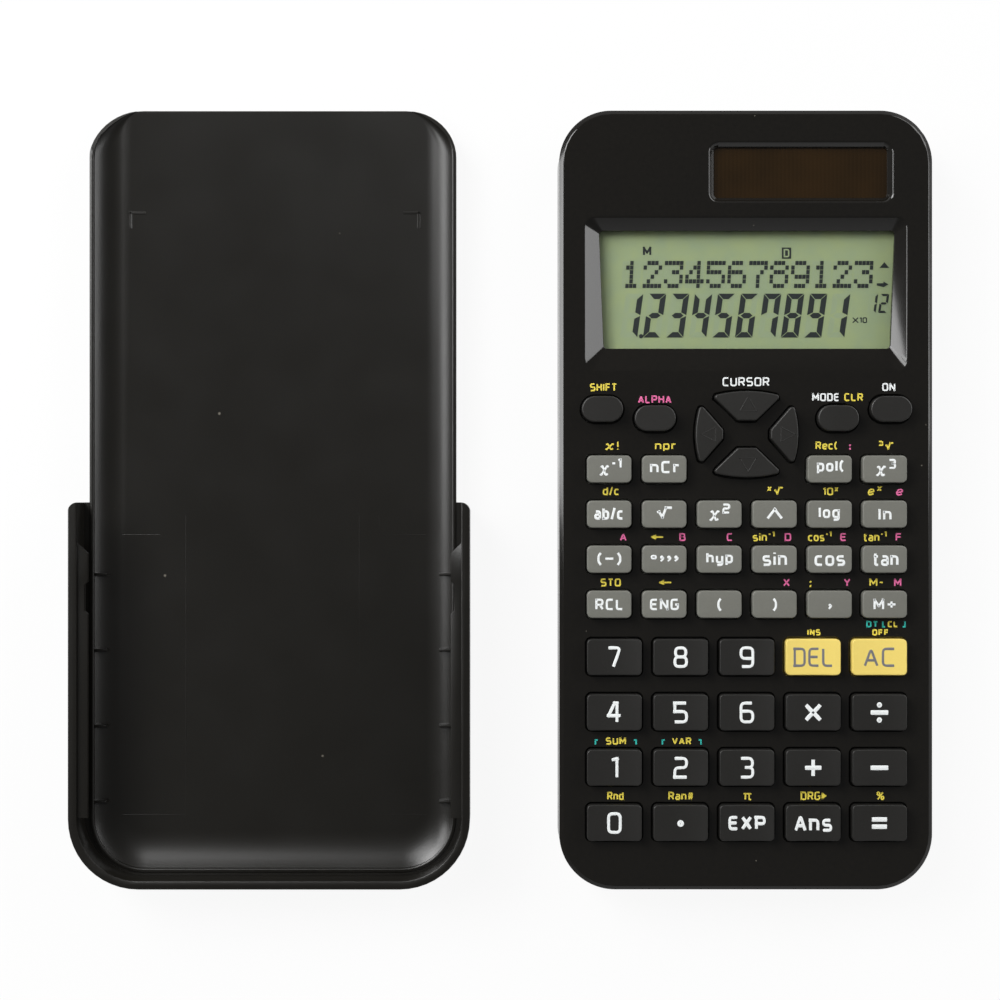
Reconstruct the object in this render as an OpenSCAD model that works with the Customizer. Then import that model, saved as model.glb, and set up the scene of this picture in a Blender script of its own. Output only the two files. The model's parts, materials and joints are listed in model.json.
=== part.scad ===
// Pocket scientific calculator with a two-line display and a hard slide-on cover.
// The calculator lies on its back with the display end towards +Y. The cover lies beside it, inside up.
// Origin: middle of the flat back. Units: millimetres.

/* [Case] */
// Distance from the outer edge of the outer keys to the side of the case
side_margin = 5.7; // [5.2:0.1:9]
// Distance from the display end of the case to the solar window
top_margin = 6.5; // [6:0.1:12]
// Distance from the middle of the last key row to the bottom end of the case
bottom_margin = 14.1; // [13:0.1:20]
// Height of the front face above the table
case_t = 11.6; // [11.2:0.1:14]
// Thickness of the side walls
wall = 2.4; // [2.2:0.1:3]
// Thickness of the front face
face_t = 1.8; // [1.6:0.1:2.2]
// Thickness of the back
back_t = 1.6; // [1.2:0.1:2]
// Corner radius at the display end
corner_top_r = 10.8; // [8:0.1:14]
// Corner radius at the bottom end
corner_bottom_r = 11.6; // [8:0.1:14]
// Width of the chamfer round the front face and the back
edge_w = 0.9; // [0.4:0.1:1.4]
// Height of the chamfer round the front face and the back
edge_h = 0.6; // [0.3:0.1:1]
// Thickness of the locating lip of the back case
lip_t = 0.8; // [0.6:0.1:1]
// Height of the locating lip above the parting line
lip_h = 1; // [0.6:0.1:1.2]

/* [Solar window] */
// Width of the opening over the solar cell
solar_w = 36; // [24:0.5:42]
// Height of the opening over the solar cell
solar_h = 10.4; // [8:0.1:14]
// Width of the slope round the opening
solar_bevel = 1.1; // [0.6:0.1:2]
// Depth of the slope round the opening
solar_slope = 1.2; // [0.6:0.1:1.2]
// Corner radius of the slope at the face
solar_r = 2; // [1.2:0.1:3]
// Distance from the slope to the right side of the case
solar_side = 8.1; // [8:0.1:16]
// Thickness of the solar cell
solar_t = 1.1; // [0.8:0.1:1.4]
// Edge of the solar cell hidden behind the face
solar_edge = 1.1; // [0.8:0.1:1.5]

/* [Display] */
// Distance from the solar window to the display recess
display_gap = 3; // [2.5:0.1:8]
// Least width of the face beside the display recess
display_side = 5.2; // [4.8:0.1:9]
// Width of the display opening at its top
display_w = 61.5; // [50:0.5:70]
// How far the display opening lies to the right of the middle
display_shift = 0.5; // [-0.6:0.1:0.6]
// Height of the display opening
display_h = 24.5; // [18:0.5:32]
// How much narrower each side of the opening is at its bottom
display_taper = 0.9; // [0:0.1:1.5]
// Corner radius of the display opening
display_r = 0.8; // [0.3:0.1:1.5]
// Corner radius of the recess at the face
recess_r = 2.2; // [0.8:0.1:4]
// Width of the slope at the top of the recess
bezel_top = 2.6; // [1.5:0.1:4]
// Width of the slope at each side of the recess
bezel_side = 2.7; // [1.5:0.1:4]
// Width of the slope at the bottom of the recess
bezel_bottom = 4.75; // [2:0.05:6]
// Depth of the recess
bezel_depth = 2.4; // [2:0.1:2.6]
// Thickness of the lip under the recess
bezel_lip = 0.8; // [0.6:0.1:1]
// Thickness of the clear window
window_t = 1; // [0.8:0.1:1.2]
// Edge of the window hidden behind the bezel
window_edge = 1.2; // [0.8:0.1:1.5]
// Thickness of the display glass
lcd_t = 1.7; // [1.4:0.1:2]
// Width of the contact ledge at the bottom of the display glass
lcd_ledge = 2.2; // [1.5:0.1:2.5]

/* [Key layout] */
// Distance from the display recess to the arrow keys
arrow_gap = 4.3; // [4:0.1:8]
// Distance from the middle of the arrow keys to the first function row
arrow_to_function = 7.2; // [7:0.1:12]
// Spacing of the function key columns
function_pitch_x = 11.36; // [11.2:0.01:13]
// Spacing of the function key rows
function_pitch_y = 9.3; // [8.6:0.05:12]
// Distance from the last function row to the first number row
function_to_number = 10.9; // [10.2:0.1:15]
// Spacing of the number key rows
number_pitch_y = 11.4; // [10.6:0.1:14]
// Sideways place of the outer oval keys
oval_outer_x = 29.8; // [28:0.1:30.4]
// Sideways place of the inner oval keys
oval_inner_x = 18.9; // [18:0.1:19.2]
// Height of the outer oval keys above the middle of the arrow keys
oval_outer_y = 5.2; // [4.8:0.1:6]
// Height of the inner oval keys above the middle of the arrow keys
oval_inner_y = 3.3; // [3:0.1:6]

/* [Keys] */
// Width of a function key
function_w = 9.1; // [7:0.1:9.2]
// Height of a function key
function_h = 5.6; // [4.6:0.1:6]
// Corner radius of a function key
function_r = 1; // [0.4:0.1:2]
// Width of a number key
number_w = 11.25; // [9:0.05:11.4]
// Height of a number key
number_h = 7.45; // [6:0.05:8.2]
// Corner radius of a number key
number_r = 0.9; // [0.4:0.1:2]
// Width of an oval key
oval_w = 8.5; // [7:0.1:9]
// Height of an oval key
oval_h = 5.35; // [4.6:0.05:5.6]
// Outer width of the up and down keys
arrow_v_w = 13.2; // [10:0.1:13.4]
// Inner width of the up and down keys
arrow_v_tip = 4.5; // [3.6:0.1:5]
// Distance from the middle to the inner side of the up and down keys
arrow_v_in = 2.8; // [2.6:0.1:3.2]
// Distance from the middle to the outer side of the up and down keys
arrow_v_out = 8.9; // [7.5:0.1:9]
// Outer width of the left and right keys
arrow_h_w = 11.3; // [9:0.1:11.5]
// Inner width of the left and right keys
arrow_h_tip = 2.6; // [2:0.1:3.2]
// Distance from the middle to the inner side of the left and right keys
arrow_h_in = 4.9; // [4.7:0.1:5.4]
// Distance from the middle to the outer side of the left and right keys
arrow_h_out = 10.6; // [9:0.1:10.8]
// Swell of the outer side of an arrow key
arrow_bulge = 0.7; // [0.2:0.1:1]
// Corner radius of an arrow key
arrow_r = 0.6; // [0.3:0.1:0.9]
// Height of the keys above the face
key_proud = 1.9; // [1.2:0.1:2.2]
// Travel of a key
key_travel = 1; // [0.6:0.1:1.2]
// Thickness of a key's shell
key_shell = 1.2; // [0.8:0.1:1.4]
// Width of the flange that holds a key behind the face
flange_w = 0.8; // [0.6:0.1:0.9]
// Thickness of that flange
flange_t = 0.8; // [0.6:0.1:1]

/* [Inside] */
// Thickness of the rubber keypad's sheet
sheet_t = 0.8; // [0.6:0.1:1]
// Radius of a rubber dome at its foot
dome_r = 2.2; // [1.8:0.1:2.3]
// Radius of a rubber dome at its top
dome_top_r = 1.4; // [1.1:0.1:1.6]
// Wall of a rubber dome
dome_wall = 0.5; // [0.4:0.1:0.7]
// Room between a pressed key and the rubber sheet
dome_spare = 0.4; // [0.3:0.1:0.6]
// Rubber sheet and board beyond the key flanges
sheet_margin = 0.6; // [0.4:0.1:0.8]
// Thickness of the circuit board
board_t = 1.2; // [0.8:0.1:1.4]
// Radius of the resin over the chip at the board
chip_r = 6; // [4:0.1:8]
// Radius of the resin over the chip at its top
chip_top_r = 4; // [2:0.1:4]
// Width of a small part on the board
chip_part_w = 2; // [1:0.1:3]
// Length of a small part on the board
chip_part_l = 3; // [1:0.1:4]
// Diameter of the button cell
battery_d = 11.6; // [9.5:0.1:12]
// Thickness of the button cell
battery_t = 3.1; // [2.1:0.1:3.2]
// Thickness of the battery clip and its contact
clip_t = 0.3; // [0.2:0.05:0.35]
// Width of the battery clip
clip_w = 4; // [3:0.1:5]
// Width of the flat cable of the display
flex_w = 36; // [20:1:40]
// Thickness of the flat cables
flex_t = 0.2; // [0.1:0.05:0.25]
// Width of the ribs inside the back
rib_w = 1.2; // [0.8:0.1:1.6]
// Sideways place of the ribs inside the back
rib_x = 24; // [22:0.5:26]
// Radius of the pegs that hold the rubber sheet down
peg_r = 0.8; // [0.5:0.1:0.9]

/* [Screws] */
// Radius of a screw boss
boss_r = 2.2; // [1.8:0.1:2.3]
// Distance from the corner bosses to the side of the case
boss_side = 5.6; // [5.4:0.1:6]
// Distance from the corner bosses to the end of the case
boss_end = 6.2; // [6:0.1:6.6]
// Radius of a screw's shank
screw_r = 0.9; // [0.8:0.05:1]
// Length of a screw's shank
screw_l = 6; // [4:0.1:6.4]
// Radius of a screw's head
screw_head_r = 1.8; // [1.5:0.1:1.9]
// Thickness of a screw's head
screw_head_t = 1.1; // [0.8:0.1:1.2]
// Depth of the recess that a screw's head sits in
screw_recess = 1.8; // [1.6:0.1:2]

/* [Cover] */
// Gap between the calculator and the cover as they lie side by side
cover_apart = 18.5; // [5:0.5:60]
// Distance of the cover's bottom end from the calculator's, towards the display
cover_offset = 0.1; // [-10:0.1:10]
// Thickness of the cover's panel
cover_t = 1.6; // [1.2:0.1:2]
// Thickness of the cover's side walls
cover_wall = 1.8; // [1.4:0.1:2.2]
// Width of the rim of the shallow half
cover_rim = 0.9; // [0.8:0.1:1.5]
// Room for the keys under the rim
cover_room = 3.2; // [3:0.1:5]
// Width of the curve at the sides of the dish
dish_side = 6; // [3.5:0.1:6.1]
// Width of the curve at the bottom of the dish
dish_end = 7.5; // [3:0.1:10]
// Distance of the open end from the display end of a covered calculator
cover_short = 0.4; // [0:0.1:2]
// Distance from the middle of a covered calculator to the start of the side walls
cover_wall_start = 2.7; // [0:0.1:20]
// How far the side walls are drawn in underneath
cover_flare = 6.5; // [6:0.1:7]
// Corner radius at the start of the side walls
cover_wall_r = 2; // [1:0.1:2.5]
// Distance from the start of the side walls to the start of the rails
rail_lead = 8.4; // [6:0.1:12]
// Length of the rails
rail_l = 57; // [40:0.5:57]
// Thickness of the rails
rail_t = 1.2; // [0.8:0.1:1.4]
// How far the rails reach into the grooves of the case
rail_bite = 1.05; // [0.6:0.05:1.1]
// Wall above the rails
rail_cap = 0.8; // [0.4:0.1:1.5]
// Distance from the start of the rails to their notch
notch_start = 8; // [5:0.5:12]
// Length of the notch in the rails
notch_l = 6.8; // [4:0.1:10]
// Depth of the notch in the rails
notch_d = 0.7; // [0.3:0.1:0.9]
// Length of the small ribs in the dish
cover_rib_l = 2.8; // [1:0.1:3]
// Thickness of the small ribs in the dish
cover_rib_t = 0.6; // [0.4:0.1:1]
// Distance from the start of the rails to the first small rib
cover_rib_start = 7.1; // [2:0.1:8]
// Spacing of the small ribs in the dish
cover_rib_pitch = 16; // [10:0.1:16]

/* [Clearances] */
// Round a key in its opening
key_gap = 0.35; // [0.25:0.05:0.4]
// Between a key's flange and the face at rest
stop_gap = 0.15; // [0.1:0.05:0.25]
// Between a key and its rubber dome at rest
dome_gap = 0.05; // [0.03:0.01:0.08]
// Round pieces that are set into the case
seat_gap = 0.2; // [0.1:0.05:0.3]
// Between stacked glass
stack_gap = 0.1; // [0.05:0.05:0.15]
// Round a boss where it passes another piece
boss_gap = 0.4; // [0.3:0.05:0.6]
// Round a screw's shank in its boss
thread_gap = 0.05; // [0.03:0.01:0.1]
// Round a screw in the back case
screw_gap = 0.25; // [0.15:0.05:0.3]
// Between the sides of the case and the walls of the cover
cover_gap = 1.15; // [0.6:0.05:2]
// Between the bottom end of the case and the wall of the cover
cover_end_gap = 0.3; // [0.2:0.05:1]
// Round a rail in its groove
rail_gap = 0.4; // [0.25:0.05:0.5]

/* [Hidden] */
$fn = 64;
hull_fn = 32;
arc_steps = 6;
dish_steps = 5;
cut = 1;
least_r = 0.5;

// Plan of the case, from the key grid and the bands along its length
keys_w = 5 * function_pitch_x + function_w;
number_pitch_x = (keys_w - number_w) / 4;
solar_band = solar_h + 2 * solar_bevel;
recess_h = bezel_top + display_h + bezel_bottom;
recess_w = display_w + 2 * bezel_side;
body_w = max(keys_w + 2 * side_margin, recess_w + 2 * display_side);
keypad_l = arrow_v_out + arrow_to_function + 3 * function_pitch_y + function_to_number + 3 * number_pitch_y;
body_l = top_margin + solar_band + display_gap + recess_h + arrow_gap + keypad_l + bottom_margin;
end_y = body_l / 2;
edge_base = 0.01;
edge_start = edge_w * (1 + (cut - edge_base) / edge_h);
solar_x = body_w / 2 - solar_side - solar_bevel - solar_w / 2;
solar_y = end_y - top_margin - solar_band / 2;
recess_top = end_y - top_margin - solar_band - display_gap;
recess_bottom = recess_top - recess_h;
display_top = recess_top - bezel_top;
display_bottom = recess_bottom + bezel_bottom;
arrow_y = recess_bottom - arrow_gap - arrow_v_out;
function_y = arrow_y - arrow_to_function;
number_y = function_y - 3 * function_pitch_y - function_to_number;
last_y = number_y - 3 * number_pitch_y;

// Heights, from the face down
face_under = case_t - face_t;
key_base = face_under - stop_gap - flange_t;
dome_top = key_base - dome_gap;
sheet_top = dome_top - key_travel - dome_spare;
board_top = sheet_top - sheet_t;
board_z = board_top - board_t;
solar_top = case_t - solar_slope - bezel_lip / 2;
bezel_z = case_t - bezel_depth;
window_top = bezel_z - bezel_lip;
lcd_top = window_top - window_t - stack_gap;
lcd_z = lcd_top - lcd_t;
parting = case_t / 2;

// Rubber sheet, board and what hangs on the board
sheet_w = 2 * (keys_w / 2 + flange_w + sheet_margin) - 2 * seat_gap;
sheet_y1 = arrow_y + arrow_v_out + flange_w + sheet_margin;
sheet_y0 = last_y - number_h / 2 - flange_w - sheet_margin;
lcd_w = display_w + 2 * window_edge - 2 * seat_gap;
lcd_y1 = display_top + window_edge - seat_gap;
lcd_y0 = display_bottom - window_edge - lcd_ledge;
battery_y = sheet_y1 - battery_d;
flex_x = recess_w / 2 + boss_gap;

// Screw bosses at the corners and beside the first function row
boss_mid_top = arrow_y + oval_outer_y - oval_h / 2 - flange_w;
boss_mid_low = function_y + function_h / 2 + flange_w;
boss_mid_y = (boss_mid_top + boss_mid_low) / 2;
boss_mid_x = body_w / 2 - wall - boss_r + boss_gap;
corner_x = body_w / 2 - boss_side;
corner_y = end_y - boss_end;
bosses = [for (sx = [-1, 1]) for (p = [[corner_x, corner_y], [boss_mid_x, boss_mid_y], [corner_x, -corner_y]])
    [sx * p.x, p.y]];
boss_z = screw_recess + back_t;

// Grooves along the sides for the rails of the cover
groove_d = rail_bite + rail_gap;
groove_h = rail_t + 2 * rail_gap;
groove_end = -cover_wall_start - rail_lead + rail_gap + cover_end_gap;

// Cover, drawn round a covered calculator whose face lies on the rim
rim_z = cover_t + cover_room;
rail_z = rim_z + case_t / 2 - rail_t / 2;
cover_h = rail_z + rail_t + rail_cap;
cover_in_w = body_w + 2 * cover_gap;
cover_w = cover_in_w + 2 * cover_wall;
cover_low = -end_y - cover_end_gap;
rail_start = -cover_wall_start - rail_lead;
rail_reach = cover_gap + rail_bite;
cover_x = -(body_w + cover_w) / 2 - cover_apart;
cover_y = cover_end_gap + cover_wall + cover_offset;

// Keys: name, kind, place, turn
function_names = [
    ["key_reciprocal", "key_combinations", "", "", "key_polar", "key_cube"],
    ["key_fraction", "key_square_root", "key_square", "key_power", "key_log", "key_ln"],
    ["key_negative", "key_degrees", "key_hyperbolic", "key_sine", "key_cosine", "key_tangent"],
    ["key_recall", "key_engineering", "key_open_bracket", "key_close_bracket", "key_comma", "key_memory_add"]];
number_names = [
    ["key_7", "key_8", "key_9", "key_delete", "key_clear"],
    ["key_4", "key_5", "key_6", "key_multiply", "key_divide"],
    ["key_1", "key_2", "key_3", "key_plus", "key_minus"],
    ["key_0", "key_point", "key_exponent", "key_answer", "key_equals"]];
yellow_names = ["key_delete", "key_clear"];
function_keys = [for (r = [0:3]) for (c = [0:5]) if (function_names[r][c] != "")
    [function_names[r][c], "function", [(c - 2.5) * function_pitch_x, function_y - r * function_pitch_y], 0]];
number_keys = [for (r = [0:3]) for (c = [0:4])
    [number_names[r][c], "number", [(c - 2) * number_pitch_x, number_y - r * number_pitch_y], 0]];
oval_keys = [
    ["key_shift", "oval", [-oval_outer_x, arrow_y + oval_outer_y], 0],
    ["key_alpha", "oval", [-oval_inner_x, arrow_y + oval_inner_y], 0],
    ["key_mode", "oval", [oval_inner_x, arrow_y + oval_inner_y], 0],
    ["key_on", "oval", [oval_outer_x, arrow_y + oval_outer_y], 0]];
arrow_keys = [
    ["key_up", "arrow_v", [0, arrow_y], 0],
    ["key_left", "arrow_h", [0, arrow_y], 90],
    ["key_down", "arrow_v", [0, arrow_y], 180],
    ["key_right", "arrow_h", [0, arrow_y], 270]];
keys = concat(oval_keys, arrow_keys, function_keys, number_keys);

// Outline of a convex polygon, given anticlockwise, grown by r with round corners
function side_angle(a, b) = atan2(b.y - a.y, b.x - a.x) - 90;
function rounded(points, r) =
    let (n = len(points))
    [for (i = [0:n - 1])
        let (p = points[i])
        let (from = side_angle(points[(i + n - 1) % n], p))
        let (turn = (side_angle(p, points[(i + 1) % n]) - from + 720) % 360)
        for (s = [0:arc_steps])
            p + r * [cos(from + turn * s / arc_steps), sin(from + turn * s / arc_steps)]];

// Corner centres of an arrow key that points along +Y
function arrow_points(outer_w, tip_w, inner, outer) = concat(
    [[-tip_w / 2 + arrow_r, inner + arrow_r], [tip_w / 2 - arrow_r, inner + arrow_r]],
    [for (t = [1:-0.25:-1]) [t * (outer_w / 2 - arrow_r), outer - arrow_r - arrow_bulge * t * t]]);

module rounded_rect(w, h, r) {
    square([w - 2 * r, h], center = true);
    square([w, h - 2 * r], center = true);
    for (sx = [-1, 1]) for (sy = [-1, 1])
        translate([sx * (w / 2 - r), sy * (h / 2 - r)]) circle(r);
}

// Outline of a box from y0 to y1 with one radius at its low end and another at its high end
module plan(w, y0, y1, r0, r1) {
    translate([-w / 2, y0 + r0]) square([w, y1 - y0 - r0 - r1]);
    translate([-w / 2 + r0, y0]) square([w - 2 * r0, 2 * r0]);
    translate([-w / 2 + r1, y1 - 2 * r1]) square([w - 2 * r1, 2 * r1]);
    for (s = [-1, 1]) {
        translate([s * (w / 2 - r0), y0 + r0]) circle(r0);
        translate([s * (w / 2 - r1), y1 - r1]) circle(r1);
    }
}

module case_plan(inset) {
    plan(body_w - 2 * inset, -end_y + inset, end_y - inset, corner_bottom_r - inset, corner_top_r - inset);
}

// Material outside the chamfer of a face, with the face at z = 0 and the case above it
module edge_ring() {
    difference() {
        translate([-body_w, -body_l, -cut]) cube([2 * body_w, 2 * body_l, cut + edge_h]);
        hull() {
            translate([0, 0, -cut]) linear_extrude(edge_base) case_plan(edge_start, $fn = hull_fn);
            translate([0, 0, edge_h]) linear_extrude(cut) case_plan(0, $fn = hull_fn);
        }
    }
}

module grooves() {
    for (s = [-1, 1])
        translate([s * body_w / 2, (groove_end - body_l) / 2, parting])
            cube([2 * groove_d, groove_end + body_l, groove_h], center = true);
}

module display_plan(grow) {
    top_x = display_w / 2 - display_r;
    low_x = top_x - display_taper;
    top_y = display_top - display_r;
    low_y = display_bottom + display_r;
    translate([display_shift, 0])
        polygon(rounded([[-low_x, low_y], [low_x, low_y], [top_x, top_y], [-top_x, top_y]], display_r + grow));
}

module display_recess() {
    hull() {
        translate([0, (recess_top + recess_bottom) / 2, case_t])
            linear_extrude(cut) rounded_rect(recess_w, recess_h, recess_r, $fn = hull_fn);
        translate([0, 0, bezel_z]) linear_extrude(cut) display_plan(0);
    }
    translate([0, 0, window_top - cut]) linear_extrude(bezel_lip + 2 * cut) display_plan(0);
}

module solar_recess() {
    inner_r = max(solar_r - solar_bevel, least_r);
    hull() {
        translate([0, 0, case_t])
            linear_extrude(cut) rounded_rect(solar_w + 2 * solar_bevel, solar_band, solar_r, $fn = hull_fn);
        translate([0, 0, case_t - solar_slope])
            linear_extrude(solar_slope) rounded_rect(solar_w, solar_h, inner_r, $fn = hull_fn);
    }
    linear_extrude(case_t) rounded_rect(solar_w, solar_h, inner_r, $fn = hull_fn);
    pocket_w = solar_w + 2 * (solar_edge + seat_gap);
    pocket_h = solar_h + 2 * (solar_edge + seat_gap);
    translate([-pocket_w / 2, -pocket_h / 2, 0]) cube([pocket_w, pocket_h, solar_top]);
}

module key_plan(k, grow) {
    translate(k[2]) rotate(k[3]) {
        if (k[1] == "function")
            rounded_rect(function_w + 2 * grow, function_h + 2 * grow, max(function_r + grow, function_r / 2));
        if (k[1] == "number")
            rounded_rect(number_w + 2 * grow, number_h + 2 * grow, max(number_r + grow, number_r / 2));
        if (k[1] == "oval") {
            square([oval_w - oval_h, oval_h + 2 * grow], center = true);
            for (s = [-1, 1]) translate([s * (oval_w - oval_h) / 2, 0]) circle(oval_h / 2 + grow);
        }
        if (k[1] == "arrow_v")
            polygon(rounded(arrow_points(arrow_v_w, arrow_v_tip, arrow_v_in, arrow_v_out), arrow_r + grow));
        if (k[1] == "arrow_h")
            polygon(rounded(arrow_points(arrow_h_w, arrow_h_tip, arrow_h_in, arrow_h_out), arrow_r + grow));
    }
}

// Where a key presses its dome
function press_radius(k) =
    k[1] == "arrow_v" ? (arrow_v_in + arrow_v_out) / 2 + arrow_r :
    k[1] == "arrow_h" ? (arrow_h_in + arrow_h_out) / 2 + arrow_r : 0;
function press_point(k) = k[2] + press_radius(k) * [-sin(k[3]), cos(k[3])];

module front_case() {
    color("#1a1816") difference() {
        union() {
            difference() {
                translate([0, 0, parting]) linear_extrude(case_t - parting) case_plan(0);
                translate([0, 0, parting - cut]) linear_extrude(face_under - parting + cut) case_plan(wall);
            }
            translate([-recess_w / 2, recess_bottom, window_top]) cube([recess_w, recess_h, face_under - window_top]);
            for (p = bosses)
                translate([p.x, p.y, boss_z]) cylinder(face_under - boss_z, r = boss_r);
            for (r = [0:2]) for (c = [-1.5:1:1.5])
                translate([c * number_pitch_x, number_y - (r + 0.5) * number_pitch_y, sheet_top])
                    cylinder(face_under - sheet_top, r = peg_r);
            for (r = [1:2]) for (c = [-2:2:2])
                translate([c * function_pitch_x, function_y - (r + 0.5) * function_pitch_y, sheet_top])
                    cylinder(face_under - sheet_top, r = peg_r);
        }
        translate([0, 0, case_t]) mirror([0, 0, 1]) edge_ring();
        display_recess();
        translate([solar_x, solar_y, 0]) solar_recess();
        for (k = keys)
            translate([0, 0, face_under - cut]) linear_extrude(face_t + 2 * cut) key_plan(k, key_gap);
        for (p = bosses)
            translate([p.x, p.y, boss_z - cut])
                cylinder(screw_recess + screw_l + seat_gap - boss_z + cut, r = screw_r + thread_gap);
        grooves();
    }
}

module back_case() {
    color("#1c1b1a") difference() {
        union() {
            difference() {
                linear_extrude(parting) case_plan(0);
                translate([0, 0, back_t]) linear_extrude(parting) case_plan(wall);
            }
            difference() {
                translate([0, 0, back_t]) linear_extrude(parting + lip_h - back_t) case_plan(wall + seat_gap);
                linear_extrude(case_t) case_plan(wall + seat_gap + lip_t);
            }
            difference() {
                linear_extrude(parting) case_plan(wall / 2);
                translate([0, 0, -cut]) linear_extrude(case_t) case_plan(wall + seat_gap + lip_t / 2);
            }
            for (p = bosses)
                translate([p.x, p.y, 0]) cylinder(boss_z, r = boss_r);
            for (s = [-1, 1]) {
                translate([s * rib_x - rib_w / 2, sheet_y0, back_t / 2])
                    cube([rib_w, sheet_y1 - sheet_y0, board_z - back_t / 2]);
                translate([s * rib_x - rib_w / 2, lcd_y0, back_t / 2])
                    cube([rib_w, lcd_y1 - lcd_y0, lcd_z - back_t / 2]);
            }
        }
        edge_ring();
        for (p = bosses) translate([p.x, p.y, -cut]) {
            cylinder(screw_recess + cut, r = screw_head_r + screw_gap);
            cylinder(case_t, r = screw_r + screw_gap);
            translate([0, 0, boss_z + cut]) cylinder(case_t, r = boss_r + boss_gap);
        }
        grooves();
    }
}

module screws() {
    color("silver") for (p = bosses) translate([p.x, p.y, screw_recess - screw_head_t]) {
        cylinder(screw_head_t, r = screw_head_r);
        cylinder(screw_head_t + screw_l, r = screw_r);
    }
}

module display_window() {
    color("#c8d2c8", 0.4)
        translate([0, 0, window_top - window_t])
            linear_extrude(window_t) display_plan(window_edge);
}

module lcd_panel() {
    color("#9eac7d") {
        translate([-lcd_w / 2, lcd_y0, lcd_z]) cube([lcd_w, lcd_y1 - lcd_y0, lcd_t / 2]);
        translate([-lcd_w / 2, lcd_y0 + lcd_ledge, lcd_z]) cube([lcd_w, lcd_y1 - lcd_y0 - lcd_ledge, lcd_t]);
        cable_z = min(lcd_z, board_z);
        translate([-flex_w / 2, sheet_y1 - lcd_ledge, cable_z - flex_t])
            cube([flex_w, lcd_y0 - sheet_y1 + 2 * lcd_ledge, flex_t]);
        translate([-flex_w / 2, lcd_y0, cable_z - flex_t]) cube([flex_w, lcd_ledge, lcd_z - cable_z + flex_t]);
    }
}

module solar_panel() {
    color("#2d2012") {
        w = solar_w + 2 * solar_edge;
        h = solar_h + 2 * solar_edge;
        cell_z = solar_top - solar_t;
        tail_y = solar_y - h / 4;
        tail_end = sheet_y1 - lcd_ledge / 2;
        down_y = sheet_y1 + seat_gap;
        translate([solar_x - w / 2, solar_y - h / 2, cell_z]) cube([w, h, solar_t]);
        translate([solar_x, tail_y, cell_z - flex_t]) cube([flex_x - solar_x, lcd_ledge, flex_t]);
        translate([flex_x, down_y, board_z - flex_t])
            cube([flex_t, tail_y + lcd_ledge - down_y, cell_z - board_z + flex_t]);
        translate([rib_x + rib_w, tail_end, board_z - flex_t])
            cube([flex_x + flex_t - rib_x - rib_w, lcd_ledge, flex_t]);
    }
}

module sheet_plan() {
    difference() {
        translate([-sheet_w / 2, sheet_y0]) square([sheet_w, sheet_y1 - sheet_y0]);
        for (p = bosses) translate(p) circle(boss_r + boss_gap);
    }
}

module rubber_keypad() {
    color("#5c5f63") translate([0, 0, board_top]) difference() {
        union() {
            linear_extrude(sheet_t) sheet_plan();
            for (k = keys)
                translate(press_point(k)) cylinder(dome_top - board_top, dome_r, dome_top_r);
        }
        for (k = keys)
            translate(press_point(k)) translate([0, 0, -dome_wall])
                cylinder(dome_top - board_top, dome_r - dome_wall, dome_top_r - dome_wall);
    }
}

module circuit_board() {
    color("#2f6b3c") {
        translate([0, 0, board_z]) linear_extrude(board_t) sheet_plan();
        translate([0, function_y - 2 * function_pitch_y, board_z - board_t]) cylinder(board_t, chip_top_r, chip_r);
        for (c = [-1, 1])
            translate([c * function_pitch_x, function_y, board_z - board_t / 2])
                cube([chip_part_w, chip_part_l, board_t], center = true);
        translate([0, battery_y, board_z - clip_t]) cylinder(clip_t, d = battery_d / 2);
        clip_z = board_z - 2 * clip_t - battery_t;
        translate([-battery_d / 2 - seat_gap - clip_t, battery_y - clip_w / 2, clip_z]) difference() {
            cube([battery_d + 2 * (seat_gap + clip_t), clip_w, board_z - clip_z]);
            translate([clip_t, -cut, clip_t]) cube([battery_d + 2 * seat_gap, clip_w + 2 * cut, case_t]);
        }
    }
}

module battery() {
    color("#c9ccd1") translate([0, battery_y, board_z - clip_t - battery_t])
        cylinder(battery_t, d = battery_d);
}

// Layer of a dish at height z above its floor, on an arc that starts flat at the floor and ends at height h
module dish_layer(w, y0, y1, r0, r1, z, h, side, end) {
    arc_r = (side * side + h * h) / (2 * h);
    s = side - sqrt(arc_r * arc_r - (arc_r - z) * (arc_r - z));
    plan(w - 2 * s, y0 + end * s / side, y1 - s, max(r0 - s, least_r), max(r1 - s, least_r), $fn = hull_fn);
}

module dish(w, y0, y1, r0, r1, z0, z1, side, end, top) {
    h = z1 - z0;
    step = h / dish_steps;
    hull() {
        for (i = [0:dish_steps - 1])
            translate([0, 0, z0 + step * i])
                linear_extrude(step) dish_layer(w, y0, y1, r0, r1, step * i, h, side, end);
        translate([0, 0, z1]) linear_extrude(top - z1) dish_layer(w, y0, y1, r0, r1, h, h, side, end);
    }
}

module rail() {
    x0 = cover_in_w / 2;
    translate([0, 0, rail_z]) linear_extrude(rail_t) polygon([
        [x0 + cover_wall / 2, rail_start],
        [x0, rail_start],
        [x0 - rail_reach, rail_start - rail_reach],
        [x0 - rail_reach, rail_start - notch_start],
        [x0 - rail_reach + notch_d, rail_start - notch_start - notch_d],
        [x0 - rail_reach + notch_d, rail_start - notch_start - notch_l + notch_d],
        [x0 - rail_reach, rail_start - notch_start - notch_l],
        [x0 - rail_reach, rail_start - rail_l],
        [x0 + cover_wall / 2, rail_start - rail_l]]);
}

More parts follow.
